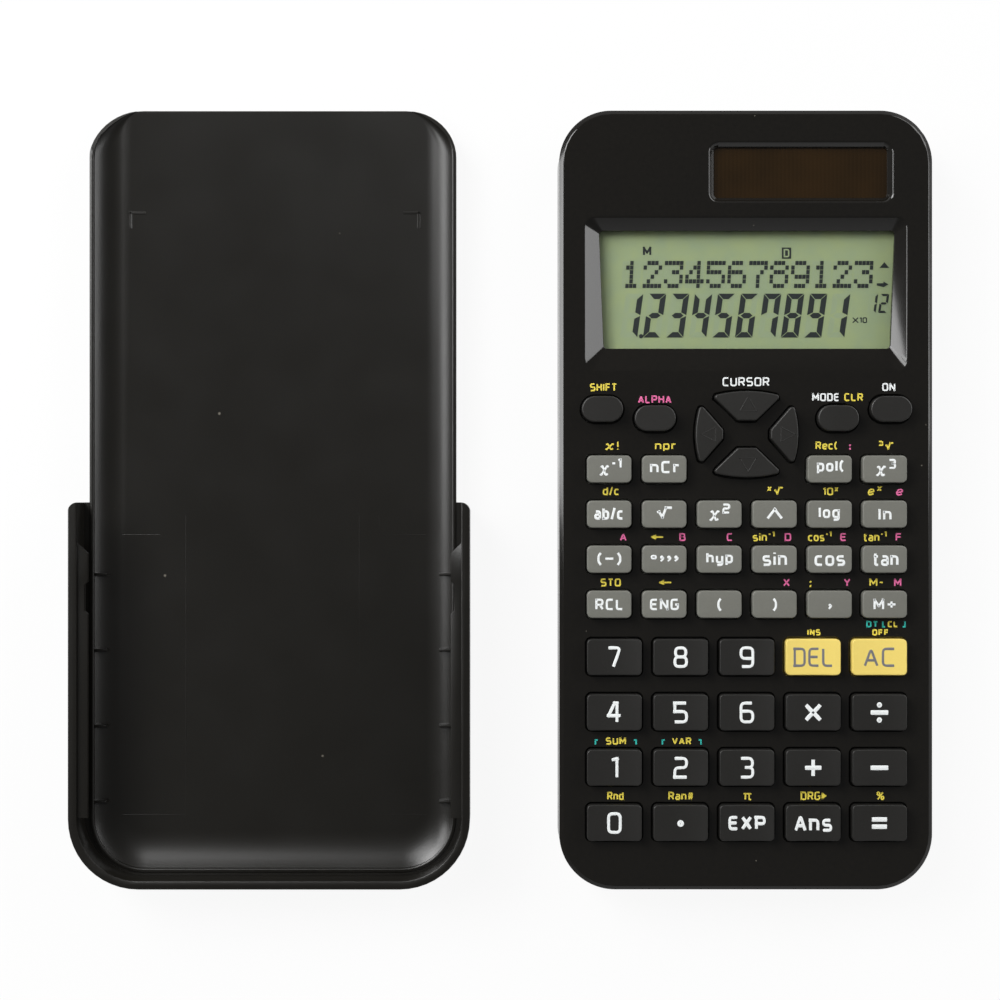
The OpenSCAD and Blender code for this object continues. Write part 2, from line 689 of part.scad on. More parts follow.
module slide_cover() {
    dish_w = body_w - 2 * cover_rim;
    dish_y1 = end_y + dish_side;
    first_rib = rail_start - cover_rib_start;
    corner_r = corner_bottom_r + cover_gap;
    color("#26241f") translate([cover_x, cover_y, 0]) {
        difference() {
            union() {
                intersection() {
                    dish(body_w, -end_y, dish_y1, corner_bottom_r, least_r,
                        0, rim_z - edge_h, dish_side, dish_side, rim_z + cut);
                    linear_extrude(rim_z + cut)
                        plan(body_w, -end_y, end_y - cover_short, corner_bottom_r, corner_top_r);
                }
                dish(cover_w, cover_low - cover_wall, -cover_wall_start, corner_r + cover_wall, cover_wall_r,
                    cover_t / 2, rim_z, cover_flare, cover_flare, cover_h);
            }
            dish(dish_w, -end_y + cover_rim, dish_y1, corner_bottom_r - cover_rim, least_r,
                cover_t, rim_z, dish_side, dish_end, rim_z + cut);
            translate([0, 0, rim_z]) linear_extrude(cover_h)
                plan(cover_in_w, cover_low, end_y + cut, corner_r, cover_wall_r);
        }
        for (s = [0, 1]) mirror([s, 0, 0]) {
            rail();
            for (i = [0:3])
                translate([dish_w / 2 - cover_rib_l, first_rib - i * cover_rib_pitch, cover_t])
                    cube([cover_rib_l + cover_rim / 2, cover_rib_t, rim_z - cover_t - edge_h]);
        }
    }
}

module key(k) {
    colour = k[1] != "function" ? (search([k[0]], yellow_names)[0] == [] ? "#2a2928" : "#f8de78") : "#76766f";
    color(colour) {
        difference() {
            union() {
                translate([0, 0, key_base]) linear_extrude(case_t + key_proud - key_base) key_plan(k, 0);
                translate([0, 0, key_base]) linear_extrude(flange_t) key_plan(k, flange_w);
            }
            if (k[1] == "function" || k[1] == "number" || k[1] == "oval")
                translate([0, 0, key_base - cut])
                    linear_extrude(case_t + key_proud - key_shell - key_base + cut) key_plan(k, -key_shell);
        }
        translate([press_point(k).x, press_point(k).y, key_base])
            cylinder(case_t + key_proud - key_shell / 2 - key_base, r = dome_top_r);
    }
}

front_case();
back_case();
slide_cover();
display_window();
lcd_panel();
solar_panel();
rubber_keypad();
circuit_board();
battery();
screws();
for (k = keys) key(k);
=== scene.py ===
import json
import math
import bpy
from mathutils import Matrix, Vector


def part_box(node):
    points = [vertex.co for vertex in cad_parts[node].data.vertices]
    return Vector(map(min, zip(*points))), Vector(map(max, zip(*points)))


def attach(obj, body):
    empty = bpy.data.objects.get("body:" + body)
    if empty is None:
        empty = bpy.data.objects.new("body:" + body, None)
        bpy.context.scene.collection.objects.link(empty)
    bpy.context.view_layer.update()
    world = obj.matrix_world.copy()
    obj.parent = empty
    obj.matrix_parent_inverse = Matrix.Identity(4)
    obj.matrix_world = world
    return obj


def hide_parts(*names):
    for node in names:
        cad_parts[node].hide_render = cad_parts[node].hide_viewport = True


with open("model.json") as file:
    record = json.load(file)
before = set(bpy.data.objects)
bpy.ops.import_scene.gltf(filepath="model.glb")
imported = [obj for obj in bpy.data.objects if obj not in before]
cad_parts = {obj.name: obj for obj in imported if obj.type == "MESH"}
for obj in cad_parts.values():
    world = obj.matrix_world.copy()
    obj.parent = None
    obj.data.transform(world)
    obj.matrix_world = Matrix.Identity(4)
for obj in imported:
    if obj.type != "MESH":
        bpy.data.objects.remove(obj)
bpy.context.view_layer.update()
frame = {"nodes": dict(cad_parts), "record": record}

from types import SimpleNamespace

nodes = frame["nodes"]
slotOf = {part["node"]: part["material_slot"] for part in frame["record"]["subparts"]}
mm = 0.001
near = 0.01 * mm  # two places this close are the same
smoothAngle = 32  # degrees: faces that meet at less than this shade as one
caseLow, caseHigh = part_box("front_case")
faceZ = caseHigh.z
windowLow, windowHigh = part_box("display_window")
print("frame loaded:", len(nodes), "CAD nodes")


def linear(hexColour):
    parts = [int(hexColour[i:i + 2], 16) / 255 for i in (1, 3, 5)]
    return [c / 12.92 if c <= 0.04045 else ((c + 0.055) / 1.055) ** 2.4 for c in parts] + [1.0]


def same(a, b):
    return abs(a - b) < near


def middleOf(node):
    low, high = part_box(node)
    return (low + high) / 2


def perMm(size):  # texture scale whose features are this many millimetres apart
    return 1 / (size * mm)


def addNode(tree, kind, inputs=None, **settings):
    node = tree.nodes.new("ShaderNode" + kind)
    for name, value in settings.items():
        setattr(node, name, value)
    for socket, value in (inputs or {}).items():
        if isinstance(value, bpy.types.NodeSocket):
            tree.links.new(value, node.inputs[socket])
        else:
            node.inputs[socket].default_value = value
    return node


def emptyTree(owner):
    owner.use_nodes = True
    owner.node_tree.nodes.clear()
    return owner.node_tree


finishes = {}


def startFinish(name):
    finishes[name] = bpy.data.materials.new(name)
    tree = emptyTree(finishes[name])
    return tree, addNode(tree, "TexCoord").outputs["Object"]


def endFinish(tree, inputs, kind="BsdfPrincipled"):
    shader = addNode(tree, kind, inputs)
    addNode(tree, "OutputMaterial", {"Surface": shader.outputs[0]})


# picking and shaping


def leaveEdit():
    bpy.ops.object.mode_set(mode="OBJECT")


def makeActive(piece):
    if bpy.context.object and bpy.context.object.mode != "OBJECT":
        leaveEdit()
    bpy.ops.object.select_all(action="DESELECT")
    if piece:
        piece.select_set(True)
        bpy.context.view_layer.objects.active = piece


def addObject(name, data):
    piece = bpy.data.objects.new(name, data)
    bpy.context.scene.collection.objects.link(piece)
    return piece


def addBlock(name, low, high):
    makeActive(None)
    low, high = Vector(low), Vector(high)
    bpy.ops.mesh.primitive_cube_add(size=1, location=(low + high) / 2)
    block = bpy.context.object
    block.name = name
    block.scale = high - low
    bpy.ops.object.transform_apply(location=True, rotation=True, scale=True)
    return block


def pick(piece, kind, test, sharp=None):  # leaves the piece in edit mode with only the chosen parts selected
    makeActive(piece)
    bpy.ops.object.mode_set(mode="EDIT")
    bpy.ops.mesh.select_mode(type=kind)
    bpy.ops.mesh.select_all(action="DESELECT")
    if sharp:
        bpy.ops.mesh.edges_select_sharp(sharpness=math.radians(sharp))
    leaveEdit()
    mesh = piece.data
    for group in (mesh.vertices, mesh.polygons):
        group.foreach_set("select", [False] * len(group))
    places = [v.co for v in mesh.vertices]
    if kind == "FACE":
        for face in mesh.polygons:
            face.select = test(face.center, face.normal)
    elif kind == "EDGE":
        for edge in mesh.edges:
            edge.select = (edge.select or not sharp) and test(*(places[i] for i in edge.vertices))
    else:
        for vertex in mesh.vertices:
            vertex.select = test(vertex.co)
    bpy.ops.object.mode_set(mode="EDIT")


def bevelEdges(piece, test, offset, steps, sharp=None):
    pick(piece, "EDGE", test, sharp)
    bpy.ops.mesh.bevel(offset=offset, segments=steps, affect="EDGES")
    leaveEdit()


def moveVertices(piece, test, shift):
    pick(piece, "VERT", test)
    bpy.ops.transform.translate(value=shift)
    leaveEdit()


def useModifier(piece, kind, **settings):
    makeActive(piece)
    modifier = piece.modifiers.new(kind.lower(), kind)
    for name, value in settings.items():
        setattr(modifier, name, value)
    bpy.ops.object.modifier_apply(modifier=modifier.name)


def combine(piece, other, operation):
    useModifier(piece, "BOOLEAN", object=other, operation=operation, solver="EXACT")
    bpy.data.objects.remove(other)


def copyNode(node, name):  # the CAD mesh, welded and with its flat faces whole
    piece = addObject(name, nodes[node].data.copy())
    makeActive(piece)
    bpy.ops.mesh.customdata_custom_splitnormals_clear()
    bpy.ops.object.mode_set(mode="EDIT")
    bpy.ops.mesh.select_all(action="SELECT")
    bpy.ops.mesh.remove_doubles(threshold=near / 10)
    bpy.ops.mesh.dissolve_limited(angle_limit=math.radians(1))
    leaveEdit()
    return piece


def copyPiece(piece, name, offset):
    copy = addObject(name, piece.data.copy())
    copy.data.transform(Matrix.Translation(offset))
    return copy


def dress(piece, finish, body, stands=()):
    makeActive(piece)
    bpy.ops.object.shade_smooth_by_angle(angle=math.radians(smoothAngle))
    piece.data.materials.clear()
    piece.data.materials.append(finishes[finish])
    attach(piece, body)
    if stands:
        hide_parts(*stands)


# camera, floor and light

photo = {
    "size": 1000,  # pixels on a side
    "caseMiddle": (746, 500),  # pixel at the middle of the calculator
    "mmPerPixel": 0.207,  # on the face
    "cameraAbove": 395,  # mm from the face to the lens
    "clipStart": 10,  # mm
}
viewWidth = photo["size"] * photo["mmPerPixel"] * mm
cameraX = (photo["size"] / 2 - photo["caseMiddle"][0]) * photo["mmPerPixel"] * mm
scene = bpy.context.scene
scene.view_settings.view_transform = "Standard"
cameraData = bpy.data.cameras.new("overheadCamera")
camera = addObject("overheadCamera", cameraData)
camera.location = (cameraX, 0, faceZ + photo["cameraAbove"] * mm)
cameraData.lens = cameraData.sensor_width * photo["cameraAbove"] * mm / viewWidth
cameraData.clip_start = photo["clipStart"] * mm
scene.camera = camera

studio = {
    "floorSize": 6.0,  # m
    "floorColour": "#f4f4f4",
    "floorGlow": 0.92,  # share of the floor's white that is its own, so that shadows stay soft
    "horizon": 0.8,  # brightness of the room near the floor
    "ceiling": 0.16,  # dim, so that the gloss face stays black
    "horizonTop": 0.45,  # sine of the height where the room goes dim
    "dimSide": 0.15,  # share of the horizon that is left towards -x
    "dimFrom": (-0.9, -0.6),  # x of the direction, from all dim to all bright
    # place, aim, width, height, watts
    "lamps": {
        "mainSoftbox": ((-0.66, 0.62, 0.84), (-0.02, 0, 0), 0.46, 0.8, 8.4),
        "leftSoftbox": ((-0.66, 0.33, 0.45), (0, 0.05, 0), 0.76, 0.26, 4.6),
        "rightSoftbox": ((0.62, 0.4, 0.34), (0, 0.04, 0), 0.92, 0.34, 4.0),
    },
}

makeActive(None)
bpy.ops.mesh.primitive_plane_add(size=studio["floorSize"], location=(0, 0, 0))
floor = bpy.context.object
floor.name = "studioFloor"
floorPaper = bpy.data.materials.new("matte_white_paper")  # even white that still takes a soft shadow
tree = emptyTree(floorPaper)
rays = addNode(tree, "LightPath").outputs
seen = rays["Is Camera Ray"]
for ray in ("Is Glossy Ray", "Is Transmission Ray"):
    seen = addNode(tree, "Math", {0: seen, 1: rays[ray]}, operation="MAXIMUM").outputs[0]
share = addNode(tree, "Math", {0: seen, 1: studio["floorGlow"]}, operation="MULTIPLY")
paper = addNode(tree, "BsdfDiffuse", {"Color": linear(studio["floorColour"])})
glow = addNode(tree, "Emission", {"Strength": 1.0})
endFinish(tree, {0: share.outputs[0], 1: paper.outputs[0], 2: glow.outputs[0]}, "MixShader")
floor.data.materials.append(floorPaper)

scene.world = bpy.data.worlds.new("studioRoom")
tree = emptyTree(scene.world)
direction = addNode(tree, "TexCoord")
height = addNode(tree, "SeparateXYZ", {0: direction.outputs["Generated"]})
level = addNode(tree, "MapRange", {
    "Value": height.outputs["Z"], "From Min": 0.0, "From Max": studio["horizonTop"],
    "To Min": studio["horizon"], "To Max": 0.0}, interpolation_type="SMOOTHSTEP")
side = addNode(tree, "MapRange", {
    "Value": height.outputs["X"], "From Min": studio["dimFrom"][0], "From Max": studio["dimFrom"][1],
    "To Min": studio["dimSide"]})
level = addNode(tree, "Math", {
    0: level.outputs[0], 1: side.outputs[0], 2: studio["ceiling"]}, operation="MULTIPLY_ADD")
room = addNode(tree, "Background", {"Strength": level.outputs[0]})
addNode(tree, "OutputWorld", {"Surface": room.outputs[0]})

for name, (place, aim, width, tall, watts) in studio["lamps"].items():
    lampData = bpy.data.lights.new(name, "AREA")
    lampData.shape = "RECTANGLE"
    lampData.size, lampData.size_y = width, tall
    lampData.energy = watts
    lamp = addObject(name, lampData)
    lamp.location = place
    lamp.rotation_euler = (Vector(aim) - Vector(place)).to_track_quat("-Z", "Y").to_euler()
print("camera, floor and lamps set")


# materials


def twoTone(tree, place, size, detail, dark, light):  # two colours mixed by a noise of this many mm
    noise = addNode(tree, "TexNoise", {"Vector": place, "Scale": perMm(size), "Detail": detail})
    tone = addNode(tree, "Mix", {0: noise.outputs[0], 6: linear(dark), 7: linear(light)}, data_type="RGBA")
    return noise.outputs[0], tone.outputs[2]


# moulded plastics, rubber and laminate: a base colour with a lighter one showing in the grain, roughness between two
# values, grain width and depth in mm, and how far apart specks of dust lie in mm
plastics = {
    # gloss ABS from a polished mould: mirror black with a little dust and hairline haze
    "gloss_abs_black": ("#12110f", "#191714", (0.07, 0.12), 0.9, 0.0004, 7.0),
    # ABS from a spark-eroded mould: even satin black
    "satin_abs_black": ("#191816", "#232220", (0.42, 0.5), 0.35, 0.006, 0),
    # the cover's ABS: satin, with a grain that sparkles where light rakes over it, drawn coarser than real to show
    "grained_abs_black": ("#0f0e0b", "#181612", (0.3, 0.34), 0.42, 0.01, 13.0),
    # moulded key plastic with a fine matte grain, drawn coarser than real to show
    "matte_abs_black": ("#191816", "#242321", (0.41, 0.46), 0.4, 0.006, 0),
    # the lighter keys: the same grain, shallower, so a little shinier
    "satin_abs_grey": ("#71716a", "#7a7a73", (0.36, 0.42), 0.4, 0.003, 0),
    "satin_abs_yellow": ("#f3d870", "#f9e07c", (0.36, 0.42), 0.4, 0.003, 0),
    # silicone: soft grey, no shine
    "moulded_silicone": ("#56595d", "#63666a", (0.6, 0.7), 0.6, 0.006, 0),
    # glass-fibre laminate under green solder resist: the weave shows faintly through
    "fr4_laminate": ("#2a6238", "#357342", (0.3, 0.4), 0.8, 0.004, 0),
}
plasticIor = 1.52
glossPatch = 14  # mm between patches of lower and higher gloss
dust = {"core": 0.012, "edge": 0.028, "share": 0.55, "colour": "#8d887c"}  # core and edge as shares of the spacing
for name, (dark, light, rough, width, depth, spacing) in plastics.items():
    tree, place = startFinish(name)
    grain, colour = twoTone(tree, place, width, 3.0, dark, light)
    cloud = addNode(tree, "TexNoise", {"Vector": place, "Scale": perMm(glossPatch), "Detail": 2.0})
    if spacing:
        speck = addNode(tree, "TexVoronoi", {"Vector": place, "Scale": perMm(spacing)})
        mask = addNode(tree, "MapRange", {
            "Value": speck.outputs["Distance"], "From Min": dust["core"], "From Max": dust["edge"],
            "To Min": dust["share"], "To Max": 0.0})
        dusted = addNode(tree, "Mix", {0: mask.outputs[0], 6: colour, 7: linear(dust["colour"])}, data_type="RGBA")
        colour = dusted.outputs[2]
    gloss = addNode(tree, "MapRange", {
        "Value": cloud.outputs[0], "From Min": 0.3, "From Max": 0.7, "To Min": rough[0], "To Max": rough[1]})
    bump = addNode(tree, "Bump", {"Strength": 1.0, "Distance": depth * mm, "Height": grain})
    endFinish(tree, {
        "Base Color": colour, "Roughness": gloss.outputs[0], "Normal": bump.outputs[0], "IOR": plasticIor})

# finishes of two close colours: the colours, the size of the patches in mm, their detail and the shader's own values
inkShader = {"Roughness": 0.5, "IOR": 1.5}
inkLook = (0.5, 2.0, inkShader)
patchy = {
    # pad-printed inks: flat, slightly uneven cover
    "white_ink": ("#eef2f2", "#f8fbfb", *inkLook), "yellow_ink": ("#e6d24a", "#f2de58", *inkLook),
    "pink_ink": ("#e0609a", "#f079ae", *inkLook), "teal_ink": ("#27b0a6", "#38c8bc", *inkLook),
    "grey_ink": ("#6f6f74", "#7d7d82", *inkLook),
    # driven segments: blue-black, with a little of the reflector through them; idle ones barely show
    "lcd_segment": ("#18201f", "#232c2c", 1.2, 2.0, inkShader),
    "lcd_ghost": ("#99a987", "#9cac88", 1.2, 2.0, inkShader),
    # plated steel: drawn and tumbled, with a soft sheen
    "nickel_plated_steel": ("#b9bcc1", "#d3d6da", 0.7, 4.0, {"Metallic": 1.0, "Roughness": 0.24}),
    "zinc_plated_steel": ("#a9adb2", "#c6c9cd", 0.7, 4.0, {"Metallic": 1.0, "Roughness": 0.34}),
}
for name, (dark, light, size, detail, sockets) in patchy.items():
    tree, place = startFinish(name)
    endFinish(tree, {"Base Color": twoTone(tree, place, size, detail, dark, light)[1], **sockets})

# liquid crystal glass over a reflector: sage green with faint blue-grey clouds
reflector = {"green": "#a1b080", "cloud": "#98a985", "cloudSize": 5, "rough": 0.55}
tree, place = startFinish("lcd_reflector")
cloud = addNode(tree, "TexNoise", {
    "Vector": place, "Scale": perMm(reflector["cloudSize"]), "Detail": 4.0, "Roughness": 0.6})
level = addNode(tree, "MapRange", {"Value": cloud.outputs[0], "From Min": 0.35, "From Max": 0.68})
tone = addNode(tree, "Mix", {
    0: level.outputs[0], 6: linear(reflector["green"]), 7: linear(reflector["cloud"])}, data_type="RGBA")
endFinish(tree, {"Base Color": tone.outputs[2], "Roughness": reflector["rough"], "IOR": 1.5})

# amorphous silicon behind glass: dark brown with fine upright scribe lines
solarFilm = {"dark": "#1b1103", "light": "#2e1e08", "patch": 9, "rough": 0.18,
             "line": "#402f1b", "linePitch": 0.83, "lineShare": 0.1}
tree, place = startFinish("amorphous_silicon")
scribe = addNode(tree, "TexWave", {
    "Vector": place, "Scale": perMm(solarFilm["linePitch"]) * math.pi / 10, "Distortion": 0.0},
    wave_type="BANDS", bands_direction="X")
line = addNode(tree, "MapRange", {
    "Value": scribe.outputs["Fac"], "From Min": 0.6, "To Max": solarFilm["lineShare"]})
film = twoTone(tree, place, solarFilm["patch"], 2.0, solarFilm["dark"], solarFilm["light"])[1]
cell = addNode(tree, "Mix", {0: line.outputs[0], 6: film, 7: linear(solarFilm["line"])}, data_type="RGBA")
endFinish(tree, {"Base Color": cell.outputs[2], "Roughness": solarFilm["rough"], "IOR": plasticIor})

# clear acrylic: nearly unseen, a thin reflection that grows towards grazing
clearSheet = {"hazeSize": 11, "rough": (0.03, 0.09), "reflects": (0.03, 0.6), "edgeFrom": 0.35}
tree, place = startFinish("clear_acrylic")
haze = addNode(tree, "TexNoise", {"Vector": place, "Scale": perMm(clearSheet["hazeSize"]), "Detail": 2.0})
rough = addNode(tree, "MapRange", {
    "Value": haze.outputs[0], "To Min": clearSheet["rough"][0], "To Max": clearSheet["rough"][1]})
clear = addNode(tree, "BsdfTransparent", {"Color": linear("#ffffff")})
shine = addNode(tree, "BsdfGlossy", {"Roughness": rough.outputs[0]})
tilt = addNode(tree, "LayerWeight", {"Blend": 0.5})  # even from both sides, so lamp light passes
edge = addNode(tree, "MapRange", {
    "Value": tilt.outputs["Facing"], "From Min": clearSheet["edgeFrom"], "To Min": clearSheet["reflects"][0],
    "To Max": clearSheet["reflects"][1]}, interpolation_type="SMOOTHERSTEP")
endFinish(tree, {0: edge.outputs[0], 1: clear.outputs[0], 2: shine.outputs[0]}, "MixShader")

kept = {"back_case": "satin_abs_black", "display_window": "clear_acrylic", "lcd_panel": "lcd_reflector",
        "solar_panel": "amorphous_silicon", "rubber_keypad": "moulded_silicone", "circuit_board": "fr4_laminate",
        "battery": "nickel_plated_steel", "screws": "zinc_plated_steel"}
for node, finish in kept.items():
    nodes[node].data.materials.clear()
    nodes[node].data.materials.append(finishes[finish])
print("finishes made:", len(finishes))


# front shell: the CAD shape with its edges eased as a mould leaves them

frontShell = {
    "sharp": 25,  # edges that turn by more than this many degrees are eased
    "faceDepth": 0.3,  # edges this close to the face are its own
    "recessEdge": 0.3,  # rounding round the solar and display recesses
    "insideEdge": 0.12,  # and at the foot of their slopes
    "otherEdge": 0.14,
    "edgeSteps": 2,
    "recessReach": 3,  # past the pane, inside the rim of the case
}
shell = copyNode("front_case", "frontShell")
recesses = [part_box(node) for node in ("solar_panel", "display_window")]


def inRecess(p):
    reach = frontShell["recessReach"] * mm
    return any(low.x - reach < p.x < high.x + reach and low.y - reach < p.y < high.y + reach
               for low, high in recesses)


faceEdge = faceZ - frontShell["faceDepth"] * mm
for zone, test in (
        ("recessEdge", lambda p: p.z > faceEdge and inRecess(p)),
        ("insideEdge", lambda p: windowHigh.z < p.z < faceEdge and inRecess(p)),
        ("otherEdge", lambda p: p.z > faceEdge and not inRecess(p))):
    bevelEdges(shell, lambda a, b: test(a) and test(b), frontShell[zone] * mm, frontShell["edgeSteps"],
               frontShell["sharp"])
dress(shell, "gloss_abs_black", "calculator", ["front_case"])
useModifier(shell, "WEIGHTED_NORMAL", keep_sharp=True)
print("front shell eased:", len(shell.data.polygons), "faces")


# keys: one cap of each kind is modelled, then copied

keyCaps = {
    "flange": 0.8,  # width and height of the foot that holds the key under the face
    "shell": 1.2,  # wall of the hollow cap
    "post": 1.4,  # radius of the post that presses the dome
    "postSides": 24,
    "corner": {"function": 1.0, "number": 0.9},
    "cornerSteps": 8,
    "fillet": 0.22,
    "filletSteps": 4,
    # the domed top of a function key: inset of each ring as a share of the key's half height, and its rise in mm
    "crown": {"function": ((0.16, 0.02), (0.26, 0.02), (0.26, 0.01)), "number": ()},
    "dip": {"function": 0, "number": 0.45},  # hollow along the middle line of a number key
    "dipSteps": 12,
    "dipClear": 1.2,  # the cuts for it keep this many corner radii from the ends
    "roundFillet": 0.3,
}
capNames = {
    "function": "reciprocal combinations polar cube fraction square_root square power log ln negative degrees "
                "hyperbolic sine cosine tangent recall engineering open_bracket close_bracket comma memory_add",
    "number": "7 8 9 delete clear 4 5 6 multiply divide 1 2 3 plus minus 0 point exponent answer equals",
    "round": "shift alpha mode on up left down right",
}
capKinds = {kind: ["key_" + name for name in names.split()] for kind, names in capNames.items()}
kindOf = {node: kind for kind, members in capKinds.items() for node in members}
capFinish = {"key_black": "matte_abs_black", "key_grey": "satin_abs_grey", "key_yellow": "satin_abs_yellow"}
flange, capShell, fillet = (keyCaps[size] * mm for size in ("flange", "shell", "fillet"))


def extrudeUp(rise):
    bpy.ops.mesh.extrude_region_move(TRANSFORM_OT_translate={"value": (0, 0, rise)})


def stepFace(size, middle, inset, rise):  # moves the picked face up or down and draws it in all round
    extrudeUp(rise)
    after = Vector((size.x - 2 * inset, size.y - 2 * inset))
    bpy.ops.transform.resize(value=(after.x / size.x, after.y / size.y, 1), center_override=middle)
    return after


def hollowAt(node):  # gives how far the top lies below its ends at each x
    low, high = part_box(node)
    middle = (low.x + high.x) / 2
    half = (high.x - low.x) / 2 - flange
    return lambda x: keyCaps["dip"][kindOf[node]] * mm * (1 - ((x - middle) / half) ** 2)


def hollowTop(cap, kind, node, top):  # cuts the key's upper part across and lowers each cut to its depth
    low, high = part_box(node)
    depth = hollowAt(node)
    foot = low.z + flange
    first = low.x + flange + keyCaps["corner"][kind] * keyCaps["dipClear"] * mm
    last = low.x + high.x - first
    for i in range(keyCaps["dipSteps"] + 1):
        pick(cap, "VERT", lambda p: p.z > foot - near)
        x = first + (last - first) * i / keyCaps["dipSteps"]
        bpy.ops.mesh.bisect(plane_co=(x, 0, 0), plane_no=(1, 0, 0))
    leaveEdit()
    for x in sorted({round(v.co.x / near) * near for v in cap.data.vertices if v.co.z > top - near}):
        moveVertices(cap, lambda p: p.z > top - near and same(p.x, x), (0, 0, -depth(x)))


def modelCap(kind, node):
    low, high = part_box(node)
    middle = (low + high) / 2
    flangeTop = low.z + flange
    crown = keyCaps["crown"][kind]
    edgeZ = high.z - sum(rise for share, rise in crown) * mm
    cap = addBlock(kind + "Cap", low, (high.x, high.y, flangeTop))
    corner = keyCaps["corner"][kind] * mm + flange
    bevelEdges(cap, lambda a, b: abs(a.z - b.z) > flange / 2, corner, keyCaps["cornerSteps"])
    pick(cap, "FACE", lambda c, n: n.z > 0.9)
    bpy.ops.mesh.inset(thickness=flange)
    extrudeUp(edgeZ - flangeTop)
    leaveEdit()
    depth = hollowAt(node)
    if keyCaps["dip"][kind]:
        hollowTop(cap, kind, node, edgeZ)
    across = (high.y - low.y) / 2  # longer than a corner's steps, shorter than a cut across the top
    wide = (high.x - low.x) / 2 - flange
    bevelEdges(cap, lambda a, b: min(p.z + depth(p.x) for p in (a, b)) > edgeZ - 2 * near
               and not (abs(a.y - b.y) > across and abs(a.x - middle.x) < wide - near),
               fillet, keyCaps["filletSteps"])
    footSize = Vector((high.x - low.x, high.y - low.y))
    size = footSize - 2 * (flange + fillet) * Vector((1, 1))
    halfTop = min(size) / 2
    if crown:
        pick(cap, "FACE", lambda c, n: n.z > 0.99 and c.z > edgeZ - near)
    for share, rise in crown:
        size = stepFace(size, middle, share * halfTop, rise * mm)
    # hollow underneath, with the post in its middle
    pick(cap, "FACE", lambda c, n: n.z < -0.9)
    stepFace(footSize, middle, flange + capShell, 0)
    roof = high.z - capShell
    extrudeUp(roof - low.z)
    post = roof + capShell / 2 - low.z
    bpy.ops.mesh.primitive_cylinder_add(
        vertices=keyCaps["postSides"], radius=keyCaps["post"] * mm, depth=post,
        location=(middle.x, middle.y, low.z + post / 2))
    leaveEdit()
    return cap


def dressCap(cap, node):
    dress(cap, capFinish[slotOf[node]], node, [node])
    useModifier(cap, "WEIGHTED_NORMAL", keep_sharp=True)


for kind in ("function", "number"):
    first = capKinds[kind][0]
    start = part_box(first)[0]
    pattern = modelCap(kind, first)
    for node in capKinds[kind]:
        dressCap(copyPiece(pattern, node.replace("key_", "cap_"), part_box(node)[0] - start), node)
    bpy.data.objects.remove(pattern)
for node in capKinds["round"]:  # the oval and arrow keys keep their CAD outline and get rounded top edges
    cap = copyNode(node, node.replace("key_", "cap_"))
    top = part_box(node)[1].z - near
    bevelEdges(cap, lambda a, b: min(a.z, b.z) > top, keyCaps["roundFillet"] * mm, keyCaps["filletSteps"])
    dressCap(cap, node)
print("key caps made:", len(kindOf))


